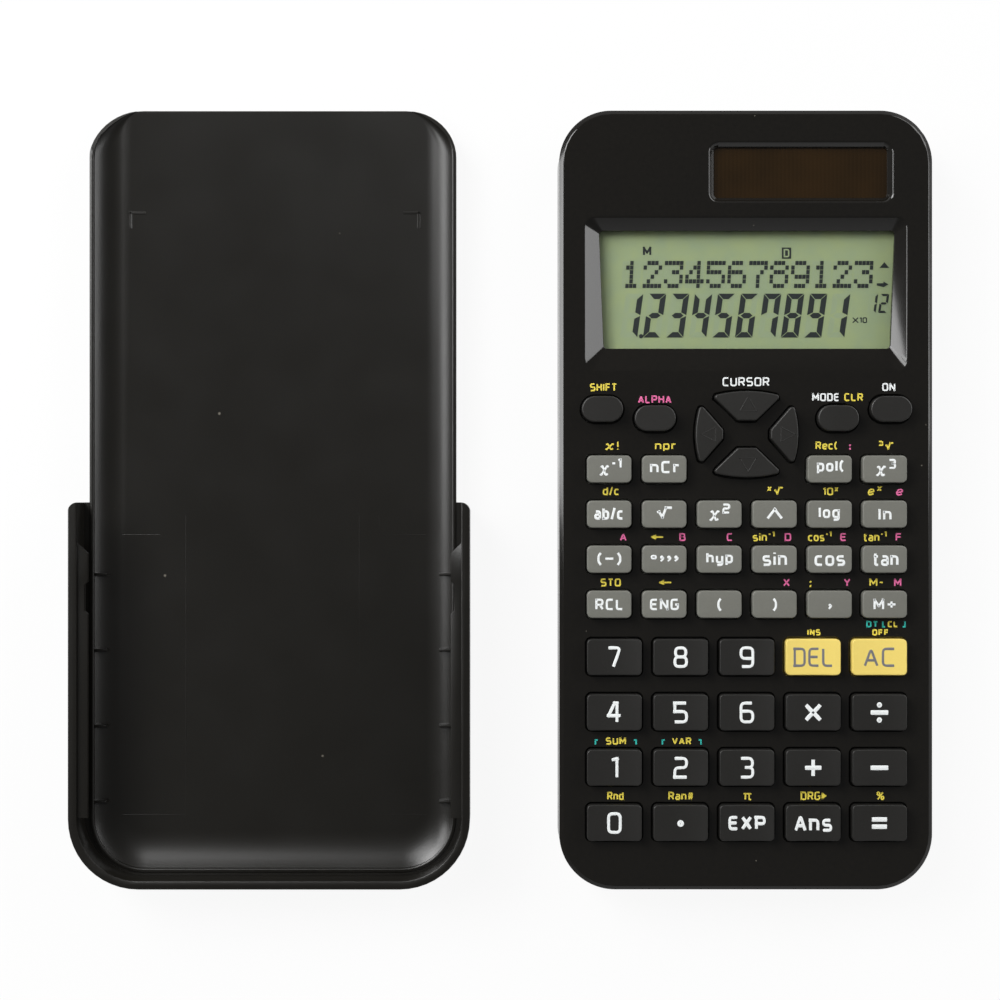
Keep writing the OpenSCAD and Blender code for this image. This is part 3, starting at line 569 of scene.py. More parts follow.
# lettering: each letter is a few strokes on a grid 6 units high; ! marks a sharp corner, @ a closed loop, * a dot
# with its radius, and a width before | holds where it isn't that of the strokes
letterShapes = {
    "0": "0 0,3.7 0,3.7 6,0 6,@", "1": "0 5.5,1.6 5.9!,1.6 0", "2": "0 6,3.7 6,3.7 3,0 3,0 0!,3.7 0",
    "3": "0 6,3.6 6,3.6 3.1,1.2 3.1;1.2 3.1,3.7 3.1,3.7 0,0 0", "4": "2.8 0,2.8 6!,2 6!,0 2!,3.9 2",
    "5": "3.5 6,0 6!,0 3.3!,3.7 3.3,3.7 0,0 0", "6": "3.4 6,0 6,0 0,3.7 0,3.7 3.4,0 3.4", "7": "0 6,3.7 6,1.5 0",
    "8": "0.2 3.1,3.5 3.1,3.5 6,0.2 6,@;0 0,3.7 0,3.7 3.1,0 3.1,@", "9": "0.3 0,3.7 0,3.7 6,0 6,0 2.6,3.7 2.6",
    "A": "0 0,1.8 6,3.6 0;0.6 1.9,3 1.9", "B": "0 0!,0 6!,3.1 6,3.1 3.1,0 3.1;0 3.1,3.4 3.1,3.4 0,0 0!,0 0.5",
    "C": "3.2 6,0 6,0 0,3.2 0", "D": "0 0!,0 6!,3.4 6,3.4 0,@", "E": "3.1 6,0 6,0 0,3.1 0;0 3.1,2.8 3.1",
    "F": "3 6,0 6!,0 0;0 3.1,2.7 3.1", "G": "3.3 6,0 6,0 0,3.4 0,3.4 2.9!,1.9 2.9",
    "H": "0 0,0 6;3.4 0,3.4 6;0 3.1,3.4 3.1", "I": "0 0,0 6", "L": "0 6,0 0,2.9 0",
    "M": "0 0,0 6!,2.15 2!,4.3 6!,4.3 0", "N": "0 0,0 6!,3.5 0!,3.5 6", "O": "0 0,3.6 0,3.6 6,0 6,@",
    "P": "0 0,0 6!,3.4 6,3.4 2.7,0 2.7", "R": "0 0,0 6!,3.3 6,3.3 2.8,0 2.8;1.8 2.8,3.4 0",
    "S": "3.2 6,0 6,0 3.1,3.4 3.1,3.4 0,0 0", "T": "0 6,3.4 6;1.7 6,1.7 0", "U": "0 6,0 0,3.4 0,3.4 6",
    "V": "0 6,1.8 0,3.6 6", "X": "0 0,3.6 6;0 6,3.6 0", "Y": "0 6,1.8 2.9!,3.6 6;1.8 2.9,1.8 0",
    "a": "0.2 4.2,2.8 4.2,2.8 0;2.8 2.3,0 2.3,0 0,2.8 0", "b": "0 6,0 0!,2.9 0,2.9 4.2,0 4.2",
    "c": "2.7 4.2,0 4.2,0 0,2.7 0", "d": "2.9 6,2.9 0!,0 0,0 4.2,2.9 4.2",
    "e": "0 2.1,2.9 2.1!,2.9 4.2,0 4.2,0 0,2.7 0", "g": "2.9 0,0 0,0 4.2,2.9 4.2!,2.9 -1.7,0.2 -1.7",
    "h": "0 0,0 6;0 4.2,2.9 4.2,2.9 0", "i": "0 0,0 4.2;0 5.5,0 6.2", "l": "0 0,0 6", "n": "0 0,0 4.2!,2.9 4.2,2.9 0",
    "o": "0 0,2.9 0,2.9 4.2,0 4.2,@", "p": "0 -1.7,0 4.2!,2.9 4.2,2.9 0,0 0", "r": "0 0,0 4.2!,2 4.2",
    "s": "2.6 4.2,0 4.2,0 2.1,2.8 2.1,2.8 0,0 0", "t": "0.8 5.7,0.8 0,2.2 0;0 4.2,2.1 4.2",
    "y": "0 4.2,0 0,2.9 0;2.9 4.2,2.9 -1.7,0.2 -1.7",
    "𝑥": "0.3 3.6,1 4.3,2.3 -0.1,3.3 0.5;0 0.5,0.4 -0.1,3.1 4.3,3.6 3.7",
    "𝑒": "2.8|0.3 1.8,2.9 2.6,2.6 4.4,0.9 4.2,0 1.6,0.6 -0.1,2.6 0.7", "(": "1.2 6.4,0 4.6,0 1.2,1.2 -0.6",
    ")": "0 6.4,1.2 4.6,1.2 1.2,0 -0.6", "/": "0 -0.4,1.8 6.4", "-": "0 3,2 3", "—": "0 3,4 3",
    "+": "0 3,4 3;2 1,2 5", "×": "0 1,4 5;0 5,4 1", "÷": "0 3,4 3;*2 5.1 0.85;*2 0.9 0.85", "=": "0 4,4 4;0 2,4 2",
    "·": "2|*1 3 1", "!": "0 6,0 1.9;0 0.5,0 -0.2", ":": "0|*0 0.6 0.7;*0 3.6 0.7",
    ";": "0.5|*0.4 3.6 0.7;0.4 0.6,0.4 -0.2,0 -1.2", ",": "*0.4 0.6 0.8;0.8 0.6,0.8 -0.2,0 -1.3",
    "’": "0.9|*0.4 4.2 1.0;1 4.2,1 3.1,0 2", "°": "0 3.4,1.6 3.4,1.6 5,0 5,@",
    "√": "0 3.3,0.7 3.7!,1.8 0.3!,3 6!,5 6", "∧": "0 1,2.2 5!,4.4 1",
    "π": "0 4.2,3.6 4.2;0.9 4.2,0.8 0;2.6 4.2,2.6 0,3.5 0",
    "%": "0.4 0,4 6;0 3.5,1.6 3.5,1.6 6,0 6,@;2.8 0,4.4 0,4.4 2.5,2.8 2.5,@",
    "#": "0.8 0,1.3 6;2.4 0,2.9 6;0 2,3.5 2;0.2 4,3.6 4", "►": "0.2 5!,2.6 3!,0.2 1!,@;0.8 3.8,1.6 3,0.8 2.2",
    "⌊": "0 6,0 0!,2.6 0", "⌋": "2.6 6,2.6 0!,0 0", "⌈": "0 0,0 6!,2.6 6", "⌉": "2.6 0,2.6 6!,0 6",
    "←": "1.4 3,6 3;0 3!,1.8 4.2!,1.8 1.8!,@;1 3.3,1.5 3,1 2.7",
}
lettering = {
    "grid": 6,  # units in a letter's height
    "arcSteps": 4,
    "corner": 1.35,  # rounding of a stroke's corner, in grid units
    "gap": 0.09,  # space between letters, of their height
    "raisedSize": 0.62,
    "raisedLift": 0.5,
    "dotSides": 16,
    "dotRing": 0.8,  # a dot is rings this many strokes apart
    "dotLeast": 0.15,  # and its first ring is no smaller than this many strokes
}


def readLetter(char):
    width, _, body = letterShapes[char].rpartition("|")
    strokes, dots = [], []
    for part in body.split(";"):
        if part.startswith("*"):
            dots.append([float(v) for v in part[1:].split()])
            continue
        points = [p for p in part.split(",") if p != "@"]
        points = [(Vector([float(v) for v in p.strip("!").split()]), p.endswith("!")) for p in points]
        strokes.append((points, part.endswith("@")))
    return float(width or max(p.x for points, _ in strokes for p, _ in points)), strokes, dots


def roundLine(points, closed, radius):
    line = []
    for i, (point, sharp) in enumerate(points):
        if sharp or (not closed and i in (0, len(points) - 1)):
            line.append(point)
            continue
        before = points[i - 1][0] - point
        after = points[(i + 1) % len(points)][0] - point
        reach = min(radius, before.length / 2, after.length / 2)
        a, b = point + before.normalized() * reach, point + after.normalized() * reach
        for step in range(lettering["arcSteps"] + 1):
            t = step / lettering["arcSteps"]
            line.append(a * (1 - t) ** 2 + point * 2 * t * (1 - t) + b * t * t)
    return line


def strokeLines(points, closed, stroke, radius):  # splits at sharp corners, where both ends run on by half a stroke
    sharps = [i for i, (point, sharp) in enumerate(points) if sharp]
    if closed and not sharps:
        return [(roundLine(points, True, radius), True)]
    if closed:
        points = points[sharps[0]:] + points[:sharps[0] + 1]
    lines, start = [], 0
    for i in range(1, len(points)):
        if points[i][1] or i == len(points) - 1:
            line = roundLine(points[start:i + 1], False, radius)
            if points[start][1]:
                line[0] = line[0] + (line[0] - line[1]).normalized() * stroke / 2
            if points[i][1]:
                line[-1] = line[-1] + (line[-1] - line[-2]).normalized() * stroke / 2
            lines.append((line, False))
            start = i
    return lines


def circle(sides):
    turns = [2 * math.pi * i / sides for i in range(sides)]
    return [Vector((math.cos(a), math.sin(a))) for a in turns]


def dotLoops(middle, radius, stroke):
    loops, ring = [], max(radius - stroke / 2, lettering["dotLeast"] * stroke)
    while ring > 0:
        loops.append(([middle + ring * p for p in circle(lettering["dotSides"])], True))
        ring -= lettering["dotRing"] * stroke
    return loops


def layOut(text, height, stroke, width):  # lines about the middle of the letters; ^ starts or ends a raised run
    unit = (height - stroke) / lettering["grid"]
    letters, x = [], 0
    for n, run in enumerate(text.split("^")):
        raised = n % 2 == 1
        size = unit * lettering["raisedSize"] if raised else unit
        lift = lettering["raisedLift"] * height if raised else 0
        for char in run:
            wide, strokes, dots = readLetter(char)
            letters.append((x, lift, size, strokes, dots))
            x += wide * size + stroke + lettering["gap"] * height * size / unit
            last = stroke + lettering["gap"] * height * size / unit
    natural = x - last
    squeeze = (width - stroke) / natural if width else 1
    lines = []
    for x, lift, size, strokes, dots in letters:
        def spot(p):
            return Vector(((x + p.x * size - natural / 2) * squeeze, lift + p.y * size - (height - stroke) / 2))
        for points, closed in strokes:
            placed = [(spot(p), sharp) for p, sharp in points]
            lines += strokeLines(placed, closed, stroke, lettering["corner"] * size)
        for dx, dy, r in dots:
            lines += dotLoops(spot(Vector((dx, dy))), r * size, stroke)
    return lines


def addLine(curve, points, closed):
    spline = curve.splines.new("POLY")
    spline.points.add(len(points) - 1)
    for target, point in zip(spline.points, points):
        target.co = (*point, 1)
    spline.use_cyclic_u = closed


def curveToMesh(name, curve, place):
    makeActive(addObject(name, curve))
    bpy.ops.object.convert(target="MESH")
    bpy.context.object.data.transform(place)
    return bpy.context.object


def drawLines(name, groups, thick, sink=None):  # groups of (lines, stroke width, place) made one flat mesh
    parts = []
    for lines, stroke, place in groups:
        curve = bpy.data.curves.new(name, "CURVE")
        curve.dimensions = "3D"
        curve.bevel_depth = stroke / 2
        curve.bevel_resolution = 1
        curve.use_fill_caps = True
        for points, closed in lines:
            depths = [sink(place.x + p.x) if sink else 0 for p in points]
            addLine(curve, [(p.x, p.y, -depth * stroke / thick) for p, depth in zip(points, depths)], closed)
        flat = Matrix.Translation(place) @ Matrix.Diagonal((1, 1, thick / stroke, 1))
        parts.append(curveToMesh(name, curve, flat))
    makeActive(parts[0])
    for part in parts:
        part.select_set(True)
    if len(parts) > 1:
        bpy.ops.object.join()
    return parts[0]


def textGroup(text, tall, stroke, wide, place):  # one text for drawLines, with its sizes in mm
    return layOut(text, tall * mm, stroke * mm, wide and wide * mm), stroke * mm, place


# key legends: text, height, stroke and width in mm, and how far off the key's middle
keyLegends = {
    "multiply": ("×", 5.4, 0.84, 3.85), "divide": ("÷", 5.4, 0.95, 4.6), "plus": ("+", 5.9, 0.87, 4.25),
    "minus": ("—", 5, 0.95, 4.6), "equals": ("=", 5.4, 0.93, 4.05), "point": ("·", 4.9, 0.5, None, 0, -0.1),
    "exponent": ("EXP", 3.05, 0.72, 7.95), "answer": ("Ans", 3.65, 0.72, 8.05), "delete": ("DEL", 4.05, 0.58, 8.35),
    "clear": ("AC", 4.05, 0.58, 6.7), "reciprocal": ("𝑥^-1", 3.1, 0.46, 4.65, 0.24, 0.1),
    "combinations": ("nCr", 2.55, 0.52, 6.2, 0.1, 0.38), "polar": ("pol(", 2.45, 0.52, 5.6, 0.1, 0.65),
    "cube": ("𝑥^3", 3.1, 0.46, 4.25, 0.17, 0), "fraction": ("ab/c", 2.6, 0.56, 6.1, -0.07, 0.14),
    "square_root": ("√", 2.6, 0.54, 3.6, 0, 0.28), "square": ("𝑥^2", 3.1, 0.46, 4.4, 0, 0.1),
    "power": ("∧", 3.4, 0.6, 3.5, 0, 0.07), "log": ("log", 2.45, 0.52, 4.4, -0.14, 0.38),
    "ln": ("ln", 2.65, 0.52, 2.75), "negative": ("(—)", 2.6, 0.52, 5, 0, 0.12), "degrees": ("°’’’", 2.6, 0.4, 5.7),
    "hyperbolic": ("hyp", 2.4, 0.52, 5.55, 0, 0.33), "sine": ("sin", 3, 0.56, 5.1, 0, 0.1),
    "cosine": ("cos", 3, 0.56, 6.35, 0, 0.1), "tangent": ("tan", 3, 0.56, 5.4, 0.1, 0.1),
    "recall": ("RCL", 2.4, 0.5, 5.8), "engineering": ("ENG", 2.4, 0.5, 6), "open_bracket": ("(", 2.6, 0.52, 1),
    "close_bracket": (")", 2.6, 0.52, 1), "comma": (",", 2.8, 0.45, 0.9, 0, 0.8),
    "memory_add": ("M+", 2.4, 0.5, 4.8),
}
digitLook = {"tall": 4.55, "stroke": 0.68, "wide": 3.15, "oneWide": 1.75}
legendInk = {"thick": 0.1, "sink": 0.01}  # mostly sunk in the crowned top
for digit in "0123456789":
    wide = digitLook["oneWide" if digit == "1" else "wide"]
    keyLegends[digit] = (digit, digitLook["tall"], digitLook["stroke"], wide)
for name, (text, tall, stroke, wide, *shift) in keyLegends.items():
    node = "key_" + name
    place = middleOf(node) + Vector((*(shift or (0, 0)), 0)) * mm
    place.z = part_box(node)[1].z - legendInk["sink"] * mm
    group = textGroup(text, tall, stroke, wide, place)
    legend = drawLines("legend_" + name, [group], legendInk["thick"] * mm, hollowAt(node))
    dress(legend, "grey_ink" if slotOf[node] == "key_yellow" else "white_ink", node)

# outline triangles moulded on the arrow keys, in mm on the face: tip, then the two ends of the base
arrowMarks = {
    "up": ((0.2, 21.3), (1.9, 18.3), (-1.5, 18.3)),
    "down": ((0.2, 5.8), (-1.5, 8.6), (1.9, 8.6)),
    "left": ((-9.4, 13.5), (-6.5, 12.0), (-6.5, 15.0)),
    "right": ((9.9, 13.5), (7.0, 15.0), (7.0, 12.0)),
}
arrowLine, arrowHigh = 0.2 * mm, 0.1 * mm
for name, corners in arrowMarks.items():
    node = "key_" + name
    lines = strokeLines([(Vector(c) * mm, True) for c in corners], True, arrowLine, 0)
    mark = drawLines("mark_" + name, [(lines, arrowLine, Vector((0, 0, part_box(node)[1].z)))], arrowHigh)
    dress(mark, "matte_abs_black", node)
print("key legends printed")

# face labels in each ink: key, text, height, width (None for its own) and, in mm, how far right of the key's middle
# and above its upper edge; an oval key's labels count from its middle
faceLabels = {
    "yellow": [
        ("reciprocal", "𝑥!", 1.9, 2.85, 0.6, 2.1), ("combinations", "npr", 1.75, 4.4, 0.4, 2.1),
        ("polar", "Rec(", 1.65, 4.5, -0.4, 2.1), ("cube", "^3^√", 1.55, 3.25, 0.6, 2),
        ("fraction", "d/c", 1.75, 3.4, 0.45, 2), ("power", "^𝑥^√", 1.65, 3.45, 0.35, 2),
        ("log", "10^𝑥", 1.6, 3.35, 0.45, 1.9), ("ln", "𝑒^𝑥", 1.9, 3.1, -1.7, 2),
        ("degrees", "←", 1.9, 2.65, -1.25, 1.75), ("sine", "sin^-1", 1.75, 4.55, -2, 1.75),
        ("cosine", "cos^-1", 1.75, 4.9, -1.75, 1.75), ("tangent", "tan^-1", 1.75, 4.9, -1.7, 1.75),
        ("recall", "STO", 1.65, 4.2, 0.4, 1.65), ("engineering", "←", 1.9, 2.65, 0.4, 1.65),
        ("comma", ";", 1.65, None, -3.7, 1.65), ("memory_add", "M-", 1.65, 2.9, -1.4, 1.65),
        ("clear", "CL", 1.32, 2.1, 3.07, 3), ("delete", "INS", 1.3, 2.75, 0.4, 1.3),
        ("clear", "OFF", 1.3, 3.4, 0.5, 1.3), ("1", "SUM", 1.5, 4.2, 0.4, 1.6), ("2", "VAR", 1.5, 4, 0.35, 1.6),
        ("0", "Rnd", 1.7, 3.4, 0.3, 1.65), ("point", "Ran#", 1.7, 5.2, 0.2, 1.65),
        ("exponent", "π", 2, 1.9, 0.3, 1.75), ("answer", "DRG►", 1.75, 5.3, 0.3, 1.65),
        ("equals", "%", 1.75, 1.6, 0.5, 1.65), ("shift", "SHIFT", 1.65, 5.6, 0.3, 4.55),
        ("mode", "CLR", 1.65, 3.9, 3.4, 4.4),
    ],
    "pink": [
        ("polar", ":", 1.7, None, 4.5, 2), ("ln", "𝑒", 1.9, 1.55, 3.35, 1.95), ("negative", "A", 1.65, 1.4, 3, 1.75),
        ("degrees", "B", 1.65, 1.3, 3.9, 1.75), ("hyperbolic", "C", 1.65, 1.2, 2.3, 1.75),
        ("sine", "D", 1.65, 1.35, 3, 1.75), ("cosine", "E", 1.65, 1.25, 3.1, 1.75),
        ("tangent", "F", 1.65, 1.25, 3.2, 1.75), ("close_bracket", "X", 1.65, 1.4, 2.7, 1.65),
        ("comma", "Y", 1.65, 1.4, 3.9, 1.65), ("memory_add", "M", 1.65, 1.5, 3, 1.65),
        ("alpha", "ALPHA", 1.65, 6.9, 0, 3.95),
    ],
    "white": [
        ("mode", "MODE", 1.65, 5.6, -2.4, 4.4), ("on", "ON", 1.65, 2.7, -0.25, 4.6),
    ],
    "teal": [
        ("clear", "DT", 1.32, 2.46, -1.2, 3), ("clear", "⌊", 1.42, 0.78, 1.22, 3),
        ("clear", "⌋", 1.42, 0.78, 5.34, 3), ("1", "⌈", 1.24, 0.79, -3.6, 1.35), ("1", "⌉", 1.24, 0.79, 4.35, 1.35),
        ("2", "⌈", 1.24, 0.79, -3.4, 1.35), ("2", "⌉", 1.24, 0.79, 4.1, 1.35),
    ],
}
labelInk = {"stroke": 0.31, "thick": 0.04, "lift": 0.004}
keyHalf = {"function": 2.8, "number": 3.725, "round": 0}  # from the key's middle to its upper edge
cursorLabel = {"tall": 1.85, "wide": 9.7, "above": 1.2}
for ink, labels in faceLabels.items():
    groups = []
    for name, text, tall, wide, dx, above in labels:
        node = "key_" + name
        place = middleOf(node) + Vector((dx, keyHalf[kindOf[node]] + above, 0)) * mm
        place.z = faceZ + labelInk["lift"] * mm
        groups.append(textGroup(text, tall, labelInk["stroke"], wide, place))
    if ink == "white":
        place = Vector((0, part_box("key_up")[1].y + cursorLabel["above"] * mm, place.z))
        groups.append(textGroup("CURSOR", cursorLabel["tall"], labelInk["stroke"], cursorLabel["wide"], place))
    dress(drawLines(ink + "Labels", groups, labelInk["thick"] * mm), ink + "_ink", "calculator")
print("face labels printed")

# display: dot-matrix row, seven-segment row and the small signs, in mm from the middle of the glass
glassLow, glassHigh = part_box("lcd_panel")
displayMiddle = Vector(((glassLow.x + glassHigh.x) / 2, (windowLow.y + windowHigh.y) / 2, glassHigh.z))
displayRows = {
    "inkThick": 0.04,
    "dotsText": "123456789123", "dotsLeft": -25.23, "dotsTop": 6.25, "dotsPitch": 4.416,
    "dotPitch": (0.795, 0.96), "dotSize": (0.70, 0.86), "dotSlant": 3,
    "digits": dict(text="1234567891", right=-20.95, top=-0.6, pitch=4.814, tall=9.17, wide=3.6, thick=1.13, gap=0.1),
    "exponent": dict(text="12", right=28.2, top=-0.65, pitch=2.3, tall=3.98, wide=1.75, thick=0.46, gap=0.05),
    "slant": 8,
    "point": (-21.4, -9.5, 0.45), "pointSides": 16,
    # text, height, stroke, width, middle
    "signs": [("M", 1.9, 0.42, 1.75, (-20.15, 8.25)), ("×", 1.8, 0.22, 1.35, (23.45, -6.15)),
              ("10", 1.2, 0.22, 1.65, (25.05, -6.15))],
    "arrows": [((28.5, 4.8), (30.5, 4.8), (29.5, 6.0)), ((29.3, 0.75), (30.35, 1.35), (29.3, 1.95)),
               ((27.9, 1.13), (29.3, 1.13), (29.3, 1.57), (27.9, 1.57))],
    "degreesBox": (8.05, 6.7, 10.0, 9.05), "boxedSign": ("D", 1.75, 0.3, 1.2),
}
dotDigits = {
    "1": "..#.. .##.. ..#.. ..#.. ..#.. .###.", "2": ".###. #...# ...#. ..#.. .#... #####",
    "3": "##### ....# ..##. ....# #...# .###.", "4": "...#. ..##. .#.#. #..#. ##### ...#.",
    "5": "##### #.... ####. ....# #...# .###.", "6": ".###. #.... ####. #...# #...# .###.",
    "7": "##### ....# ...#. ..#.. ..#.. ..#..", "8": ".###. #...# .###. #...# #...# .###.",
    "9": ".###. #...# #...# .#### ....# .###.",
}
segmentDigits = {"1": "bc", "2": "abged", "3": "abgcd", "4": "fgbc", "5": "afgcd", "6": "afgedc", "7": "fabc",
                 "8": "abcdefg", "9": "abcdfg"}


dark, ghost = [], []  # outlines of the lit and the idle segments


def segmentRow(text, right, top, pitch, tall, wide, thick, gap):
    half, mid = thick / 2, tall / 2
    upper = [(0, tall - gap), (thick, tall - thick - gap), (thick, mid + half + gap), (0, mid + gap)]
    lower = [(0, mid - gap), (thick, mid - half - gap), (thick, thick + gap), (0, gap)]
    shapes = {
        "a": [(gap, tall), (wide - gap, tall), (wide - thick - gap, tall - thick), (thick + gap, tall - thick)],
        "d": [(gap, 0), (thick + gap, thick), (wide - thick - gap, thick), (wide - gap, 0)],
        "g": [(half, mid), (thick + gap, mid + half), (wide - thick - gap, mid + half), (wide - half, mid),
              (wide - thick - gap, mid - half), (thick + gap, mid - half)],
        "f": upper, "e": lower,
        "b": [(wide - x, y) for x, y in upper], "c": [(wide - x, y) for x, y in lower],
    }
    lean = math.tan(math.radians(displayRows["slant"]))
    for n, char in enumerate(text):
        for name, outline in shapes.items():
            placed = [(right + n * pitch - wide + x + (y - tall) * lean, top - tall + y) for x, y in outline]
            (dark if name in segmentDigits[char] else ghost).append(placed)


def flatShapes(name, outlines, thick, place):  # filled outlines, made a thin mesh before it is put in place
    curve = bpy.data.curves.new(name, "CURVE")
    curve.dimensions = "2D"
    curve.fill_mode = "BOTH"
    curve.extrude = thick / 2
    for outline in outlines:
        addLine(curve, [(x * mm, y * mm, 0) for x, y in outline], True)
    return curveToMesh(name, curve, Matrix.Translation(place))


look = displayRows
for row in ("digits", "exponent"):
    segmentRow(**look[row])
lean = math.tan(math.radians(look["dotSlant"]))
dotW, dotH = look["dotSize"]
for n, char in enumerate(look["dotsText"]):
    for row, dots in enumerate(dotDigits[char].split()):
        for column, dot in enumerate(dots):
            y = look["dotsTop"] - row * look["dotPitch"][1]
            x = look["dotsLeft"] + n * look["dotsPitch"] + column * look["dotPitch"][0] + (y - look["dotsTop"]) * lean
            square = [(x, y), (x + dotW, y), (x + dotW - dotH * lean, y - dotH), (x - dotH * lean, y - dotH)]
            (dark if dot == "#" else ghost).append(square)
px, py, pr = look["point"]
dark.append([(px + pr * p.x, py + pr * p.y) for p in circle(look["pointSides"])])
dark += look["arrows"]
x0, y0, x1, y1 = look["degreesBox"]
dark.append([(x0, y0), (x1, y0), (x1, y1), (x0, y1)])
thick = look["inkThick"] * mm
lift = displayMiddle + Vector((0, 0, thick))
dress(flatShapes("lcdSegments", dark, thick, lift), "lcd_segment", "calculator")
dress(flatShapes("lcdGhosts", ghost, thick / 2, displayMiddle), "lcd_ghost", "calculator")
groups = [textGroup(*sign, lift + Vector((*middle, 0)) * mm) for *sign, middle in look["signs"]]
dress(drawLines("lcdSigns", groups, thick), "lcd_segment", "calculator")
boxPlace = lift + Vector(((x0 + x1) / 2 * mm, (y0 + y1) / 2 * mm, thick / 2))  # on top of the dark box
dress(drawLines("lcdBoxedSign", [textGroup(*look["boxedSign"], boxPlace)], thick), "lcd_reflector", "calculator")
print("display drawn:", len(dark), "dark shapes")


# cover: a shallow dish, open at the display end, with a U of side walls round its lower half, rails along the
# walls and small ribs

coverShape = {
    "rim": 4.8, "floor": 1.6, "ledge": 4.62,  # heights
    "rimWidth": 0.9, "wall": 1.8, "endGap": 0.3, "gap": 1.15,
    "cornerLow": 11.6, "cornerHigh": 10.8, "wallCorner": 2.0,
    "underSide": 6.0, "underRise": 4.2,  # curve of the lower edge
    "wallUnderSide": 6.5, "wallUnderRise": 4.0,
    "dishSide": 5.6, "dishEnd": 7.5, "dishRise": 2.1,  # the inside curve along the sides and at the closed end
    "dishPast": 0.35, "endReach": 20.0,  # the dish runs past the open end; what is this near an end is that end's
    "slopeLong": 9.0, "slopeFoot": 0.2,  # slope of the lip at the open end
    "lip": 0.25,  # rounding of the rims
    "wallStart": -0.5,  # y of the walls' free ends
    "cornerSteps": 12, "lipSteps": 3, "underSteps": 8, "dishSteps": 10,
    "railLow": 10.0, "railHigh": 11.2, "railStart": -8.9, "railEnd": -65.9, "railReach": 2.2,
    "railEase": 0.15, "railShort": 0.8, "railLong": 1.5,  # its rounding; edges between these lengths stay sharp
    "notch": (-16.9, -17.6, -23.0, -23.7), "notchDeep": 0.7,
    "ribStart": -16.0, "ribPitch": 16.0, "ribs": 4, "ribLong": 2.8, "ribThick": 0.6, "ribTop": 4.2,
    "ribEase": 0.12, "easeSteps": 2,
    "past": 15.0, "spare": 0.02,  # how far blocks run past where they are cut, and cutters past the sides
    "tallest": 30.0, "cutterTop": 5.0,  # how high cutters stand
    "flare": ((0.3, 0.6), (0.7, 0.4)),  # shares of a rim's rounding, outwards and up
    "markX": 30.6, "markBack": 21.55, "markArm": 3.3, "markLine": 0.72, "markHigh": 0.3,
}
coverLow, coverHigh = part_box("slide_cover")
coverX = (coverLow.x + coverHigh.x) / 2
halfBody = (caseHigh.x - caseLow.x) / 2
look = SimpleNamespace(**{key: v * mm if isinstance(v, float) else v for key, v in coverShape.items()})


def roundedBlock(name, low, high, lowCorner, highCorner):
    block = addBlock(name, low, high)
    for y, radius in ((low[1], lowCorner), (high[1], highCorner)):
        if radius:
            bevelEdges(block, lambda a, b: same(a.y, y) and same(b.y, y) and same(a.x, b.x), radius, look.cornerSteps)
    return block


def bevelLevel(block, z, offset, steps):  # rounds the whole edge at this height
    bevelEdges(block, lambda a, b: same(a.z, z) and same(b.z, z), offset, steps)


def arcDown(block, side, rise, steps):  # grows the block down on an arc that ends flat; gives each level's inset
    radius = (side * side + rise * rise) / (2 * rise)
    start = math.asin(min(1, side / radius))
    angles = [start * (1 - i / steps) for i in range(steps + 1)]
    levels = []
    bottom = min(v.co.z for v in block.data.vertices)
    pick(block, "FACE", lambda c, n: n.z < -0.9 and c.z < bottom + near)
    for a, b in zip(angles, angles[1:]):
        bpy.ops.mesh.inset(thickness=radius * (math.sin(a) - math.sin(b)), depth=radius * (math.cos(b) - math.cos(a)))
        levels.append((bottom - radius * (math.cos(b) - math.cos(start)), side - radius * math.sin(b)))
    leaveEdit()
    return levels


def coverBlock(name, half, lowY, foot, endY, top, corner, underSide, underRise, endCorner):
    # curved along its lower edge and trimmed to its outline at the upper end
    block = roundedBlock(name, (coverX - half, lowY, foot + underRise),
                         (coverX + half, endY + look.past, top), corner, 0)
    bevelLevel(block, top, look.lip, look.lipSteps)
    arcDown(block, underSide, underRise, look.underSteps)
    trim = roundedBlock("coverTrim", (coverX - half - look.spare, coverLow.y - look.past, -look.tallest),
                        (coverX + half + look.spare, endY, look.tallest), 0, endCorner)
    combine(block, trim, "INTERSECT")
    return block


def roomBlock(name, low, high, lowCorner, highCorner, rise):  # a cutter open at its top, which rounds the rim it cuts
    room = roundedBlock(name, low, high, lowCorner, highCorner)
    middle = ((low[0] + high[0]) / 2, (low[1] + high[1]) / 2, high[2])
    size = Vector((high[0] - low[0], high[1] - low[1]))
    pick(room, "FACE", lambda c, n: n.z > 0.99 and c.z > high[2] - near)
    for share, part in look.flare:
        size = stepFace(size, middle, -look.lip * share, rise * part)
    extrudeUp(look.cutterTop)
    leaveEdit()
    return room


innerX = halfBody + look.gap
outerX = innerX + look.wall
dishLowY = coverLow.y + look.wall + look.endGap
cover = coverBlock("slideCover", halfBody, dishLowY, 0, coverHigh.y, look.rim, look.cornerLow,
                   look.underSide, look.underRise, look.cornerHigh)
walls = coverBlock("coverWalls", outerX, coverLow.y, look.floor / 2, look.wallStart, coverHigh.z,
                   look.cornerLow + look.gap + look.wall, look.wallUnderSide, look.wallUnderRise, look.wallCorner)
hollow = roomBlock("wallRoom", (coverX - innerX, coverLow.y + look.wall, look.ledge),
                   (coverX + innerX, coverHigh.y + look.past, coverHigh.z - look.lip),
                   look.cornerLow + look.gap, 0, look.lip)
combine(walls, hollow, "DIFFERENCE")
combine(cover, walls, "UNION")

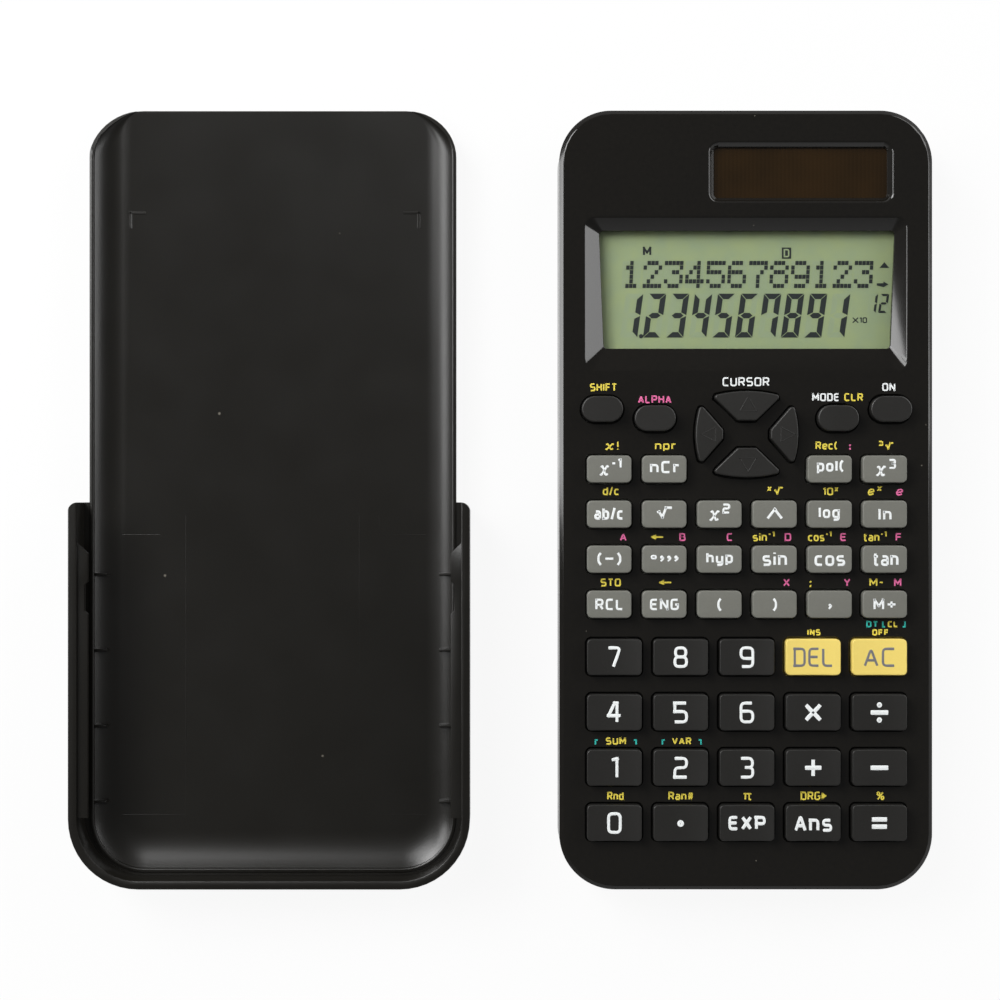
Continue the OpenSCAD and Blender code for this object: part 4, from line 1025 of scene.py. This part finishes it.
low = (coverX - halfBody + look.rimWidth, dishLowY + look.rimWidth, look.floor + look.dishRise)
high = (coverX + halfBody - look.rimWidth, coverHigh.y + look.dishPast, look.rim - look.lip / 2)
dish = roomBlock("dishRoom", low, high, look.cornerLow - look.rimWidth, look.cornerHigh, look.lip / 2)
for z, inset in arcDown(dish, look.dishSide, look.dishRise, look.dishSteps):
    # the closed end's curve is longer: each level of it is drawn further in
    further = (look.dishEnd / look.dishSide - 1) * inset
    moveVertices(dish, lambda p: same(p.z, z) and p.y < low[1] + look.endReach, (0, further, 0))
    # the open end has no curve: the lip only follows its corners and runs out there
    moveVertices(dish, lambda p: same(p.z, z) and p.y > high[1] - look.endReach, (0, inset, 0))
combine(cover, dish, "DIFFERENCE")
# the lip slopes down to the floor at the corners of the open end
slopeY = coverHigh.y - look.slopeLong
slope = addBlock("endSlope", (coverX - halfBody - look.past, slopeY, look.floor + look.slopeFoot),
                 (coverX + halfBody + look.past, coverHigh.y + look.spare, look.tallest))
moveVertices(slope, lambda p: p.y < slopeY + near and p.z < look.tallest - near,
             (0, 0, look.rim + look.spare - look.floor - look.slopeFoot))
combine(cover, slope, "DIFFERENCE")

for side in (-1, 1):
    inner = coverX + side * (innerX - look.railReach)
    inWall = coverX + side * (innerX + look.wall / 2)
    rail = addBlock("coverRail", (min(inner, inWall), look.railEnd, look.railLow),
                    (max(inner, inWall), look.railStart, look.railHigh))
    bevelEdges(rail, lambda a, b: abs(a.z - b.z) > near and same(a.x, inner)
               and same(a.y, look.railStart), look.railReach, 1)
    for y in look.notch:
        pick(rail, "VERT", lambda p: True)
        bpy.ops.mesh.bisect(plane_co=(0, y * mm, 0), plane_no=(0, 1, 0))
    outEnd, inEnd = (y * mm for y in look.notch[1:3])
    moveVertices(rail, lambda p: same(p.x, inner) and inEnd - near < p.y < outEnd + near,
                 (side * look.notchDeep, 0, 0))
    bevelEdges(rail, lambda a, b: same(a.z, look.railHigh) and same(b.z, look.railHigh)
               and abs(a.x - inWall) > near and abs(b.x - inWall) > near
               and (abs(a.x - b.x) < look.railShort or abs(a.y - b.y) > look.railLong), look.railEase, look.easeSteps)
    combine(cover, rail, "UNION")
    rimX = coverX + side * (halfBody - look.rimWidth)
    for i in range(look.ribs):
        y = look.ribStart - i * look.ribPitch
        ends = rimX - side * look.ribLong, rimX + side * look.rimWidth / 2
        rib = addBlock("coverRib", (min(ends), y, look.floor), (max(ends), y + look.ribThick, look.ribTop))
        bevelLevel(rib, look.ribTop, look.ribEase, look.easeSteps)
        combine(cover, rib, "UNION")
dress(cover, "grained_abs_black", "cover", ["slide_cover"])

# corner marks and faint mould lines standing on the cover's floor, in mm from its middle line and its open end
mouldLines = {
    "line": 0.16, "high": 0.03,
    "lines": [((-18.8, 85.9), (-18.8, 149.3), (-32.5, 149.3)), ((18.0, 85.9), (18.0, 149.3), (32.5, 149.3)),
              ((-32.5, 89.9), (-24.3, 89.9)), ((22.2, 85.9), (22.2, 89.9), (32.5, 89.9))],
}
onFloor = Vector((coverX, coverHigh.y, look.floor))
marks = []
for side in (-1, 1):
    corner = Vector((side * look.markX, -look.markBack))
    arms = (corner - Vector((side * look.markArm, 0)), corner, corner - Vector((0, look.markArm)))
    marks += strokeLines([(p, p == corner) for p in arms], False, look.markLine, 0)
coverMarks = drawLines("coverMarks", [(marks, look.markLine, onFloor)], look.markHigh)
dress(coverMarks, "grained_abs_black", "cover")
lines = [([Vector((x, -back)) * mm for x, back in line], False) for line in mouldLines["lines"]]
coverLines = drawLines("coverMouldLines", [(lines, mouldLines["line"] * mm, onFloor)], mouldLines["high"] * mm)
dress(coverLines, "grained_abs_black", "cover")
print("cover made:", len(cover.data.polygons), "faces")
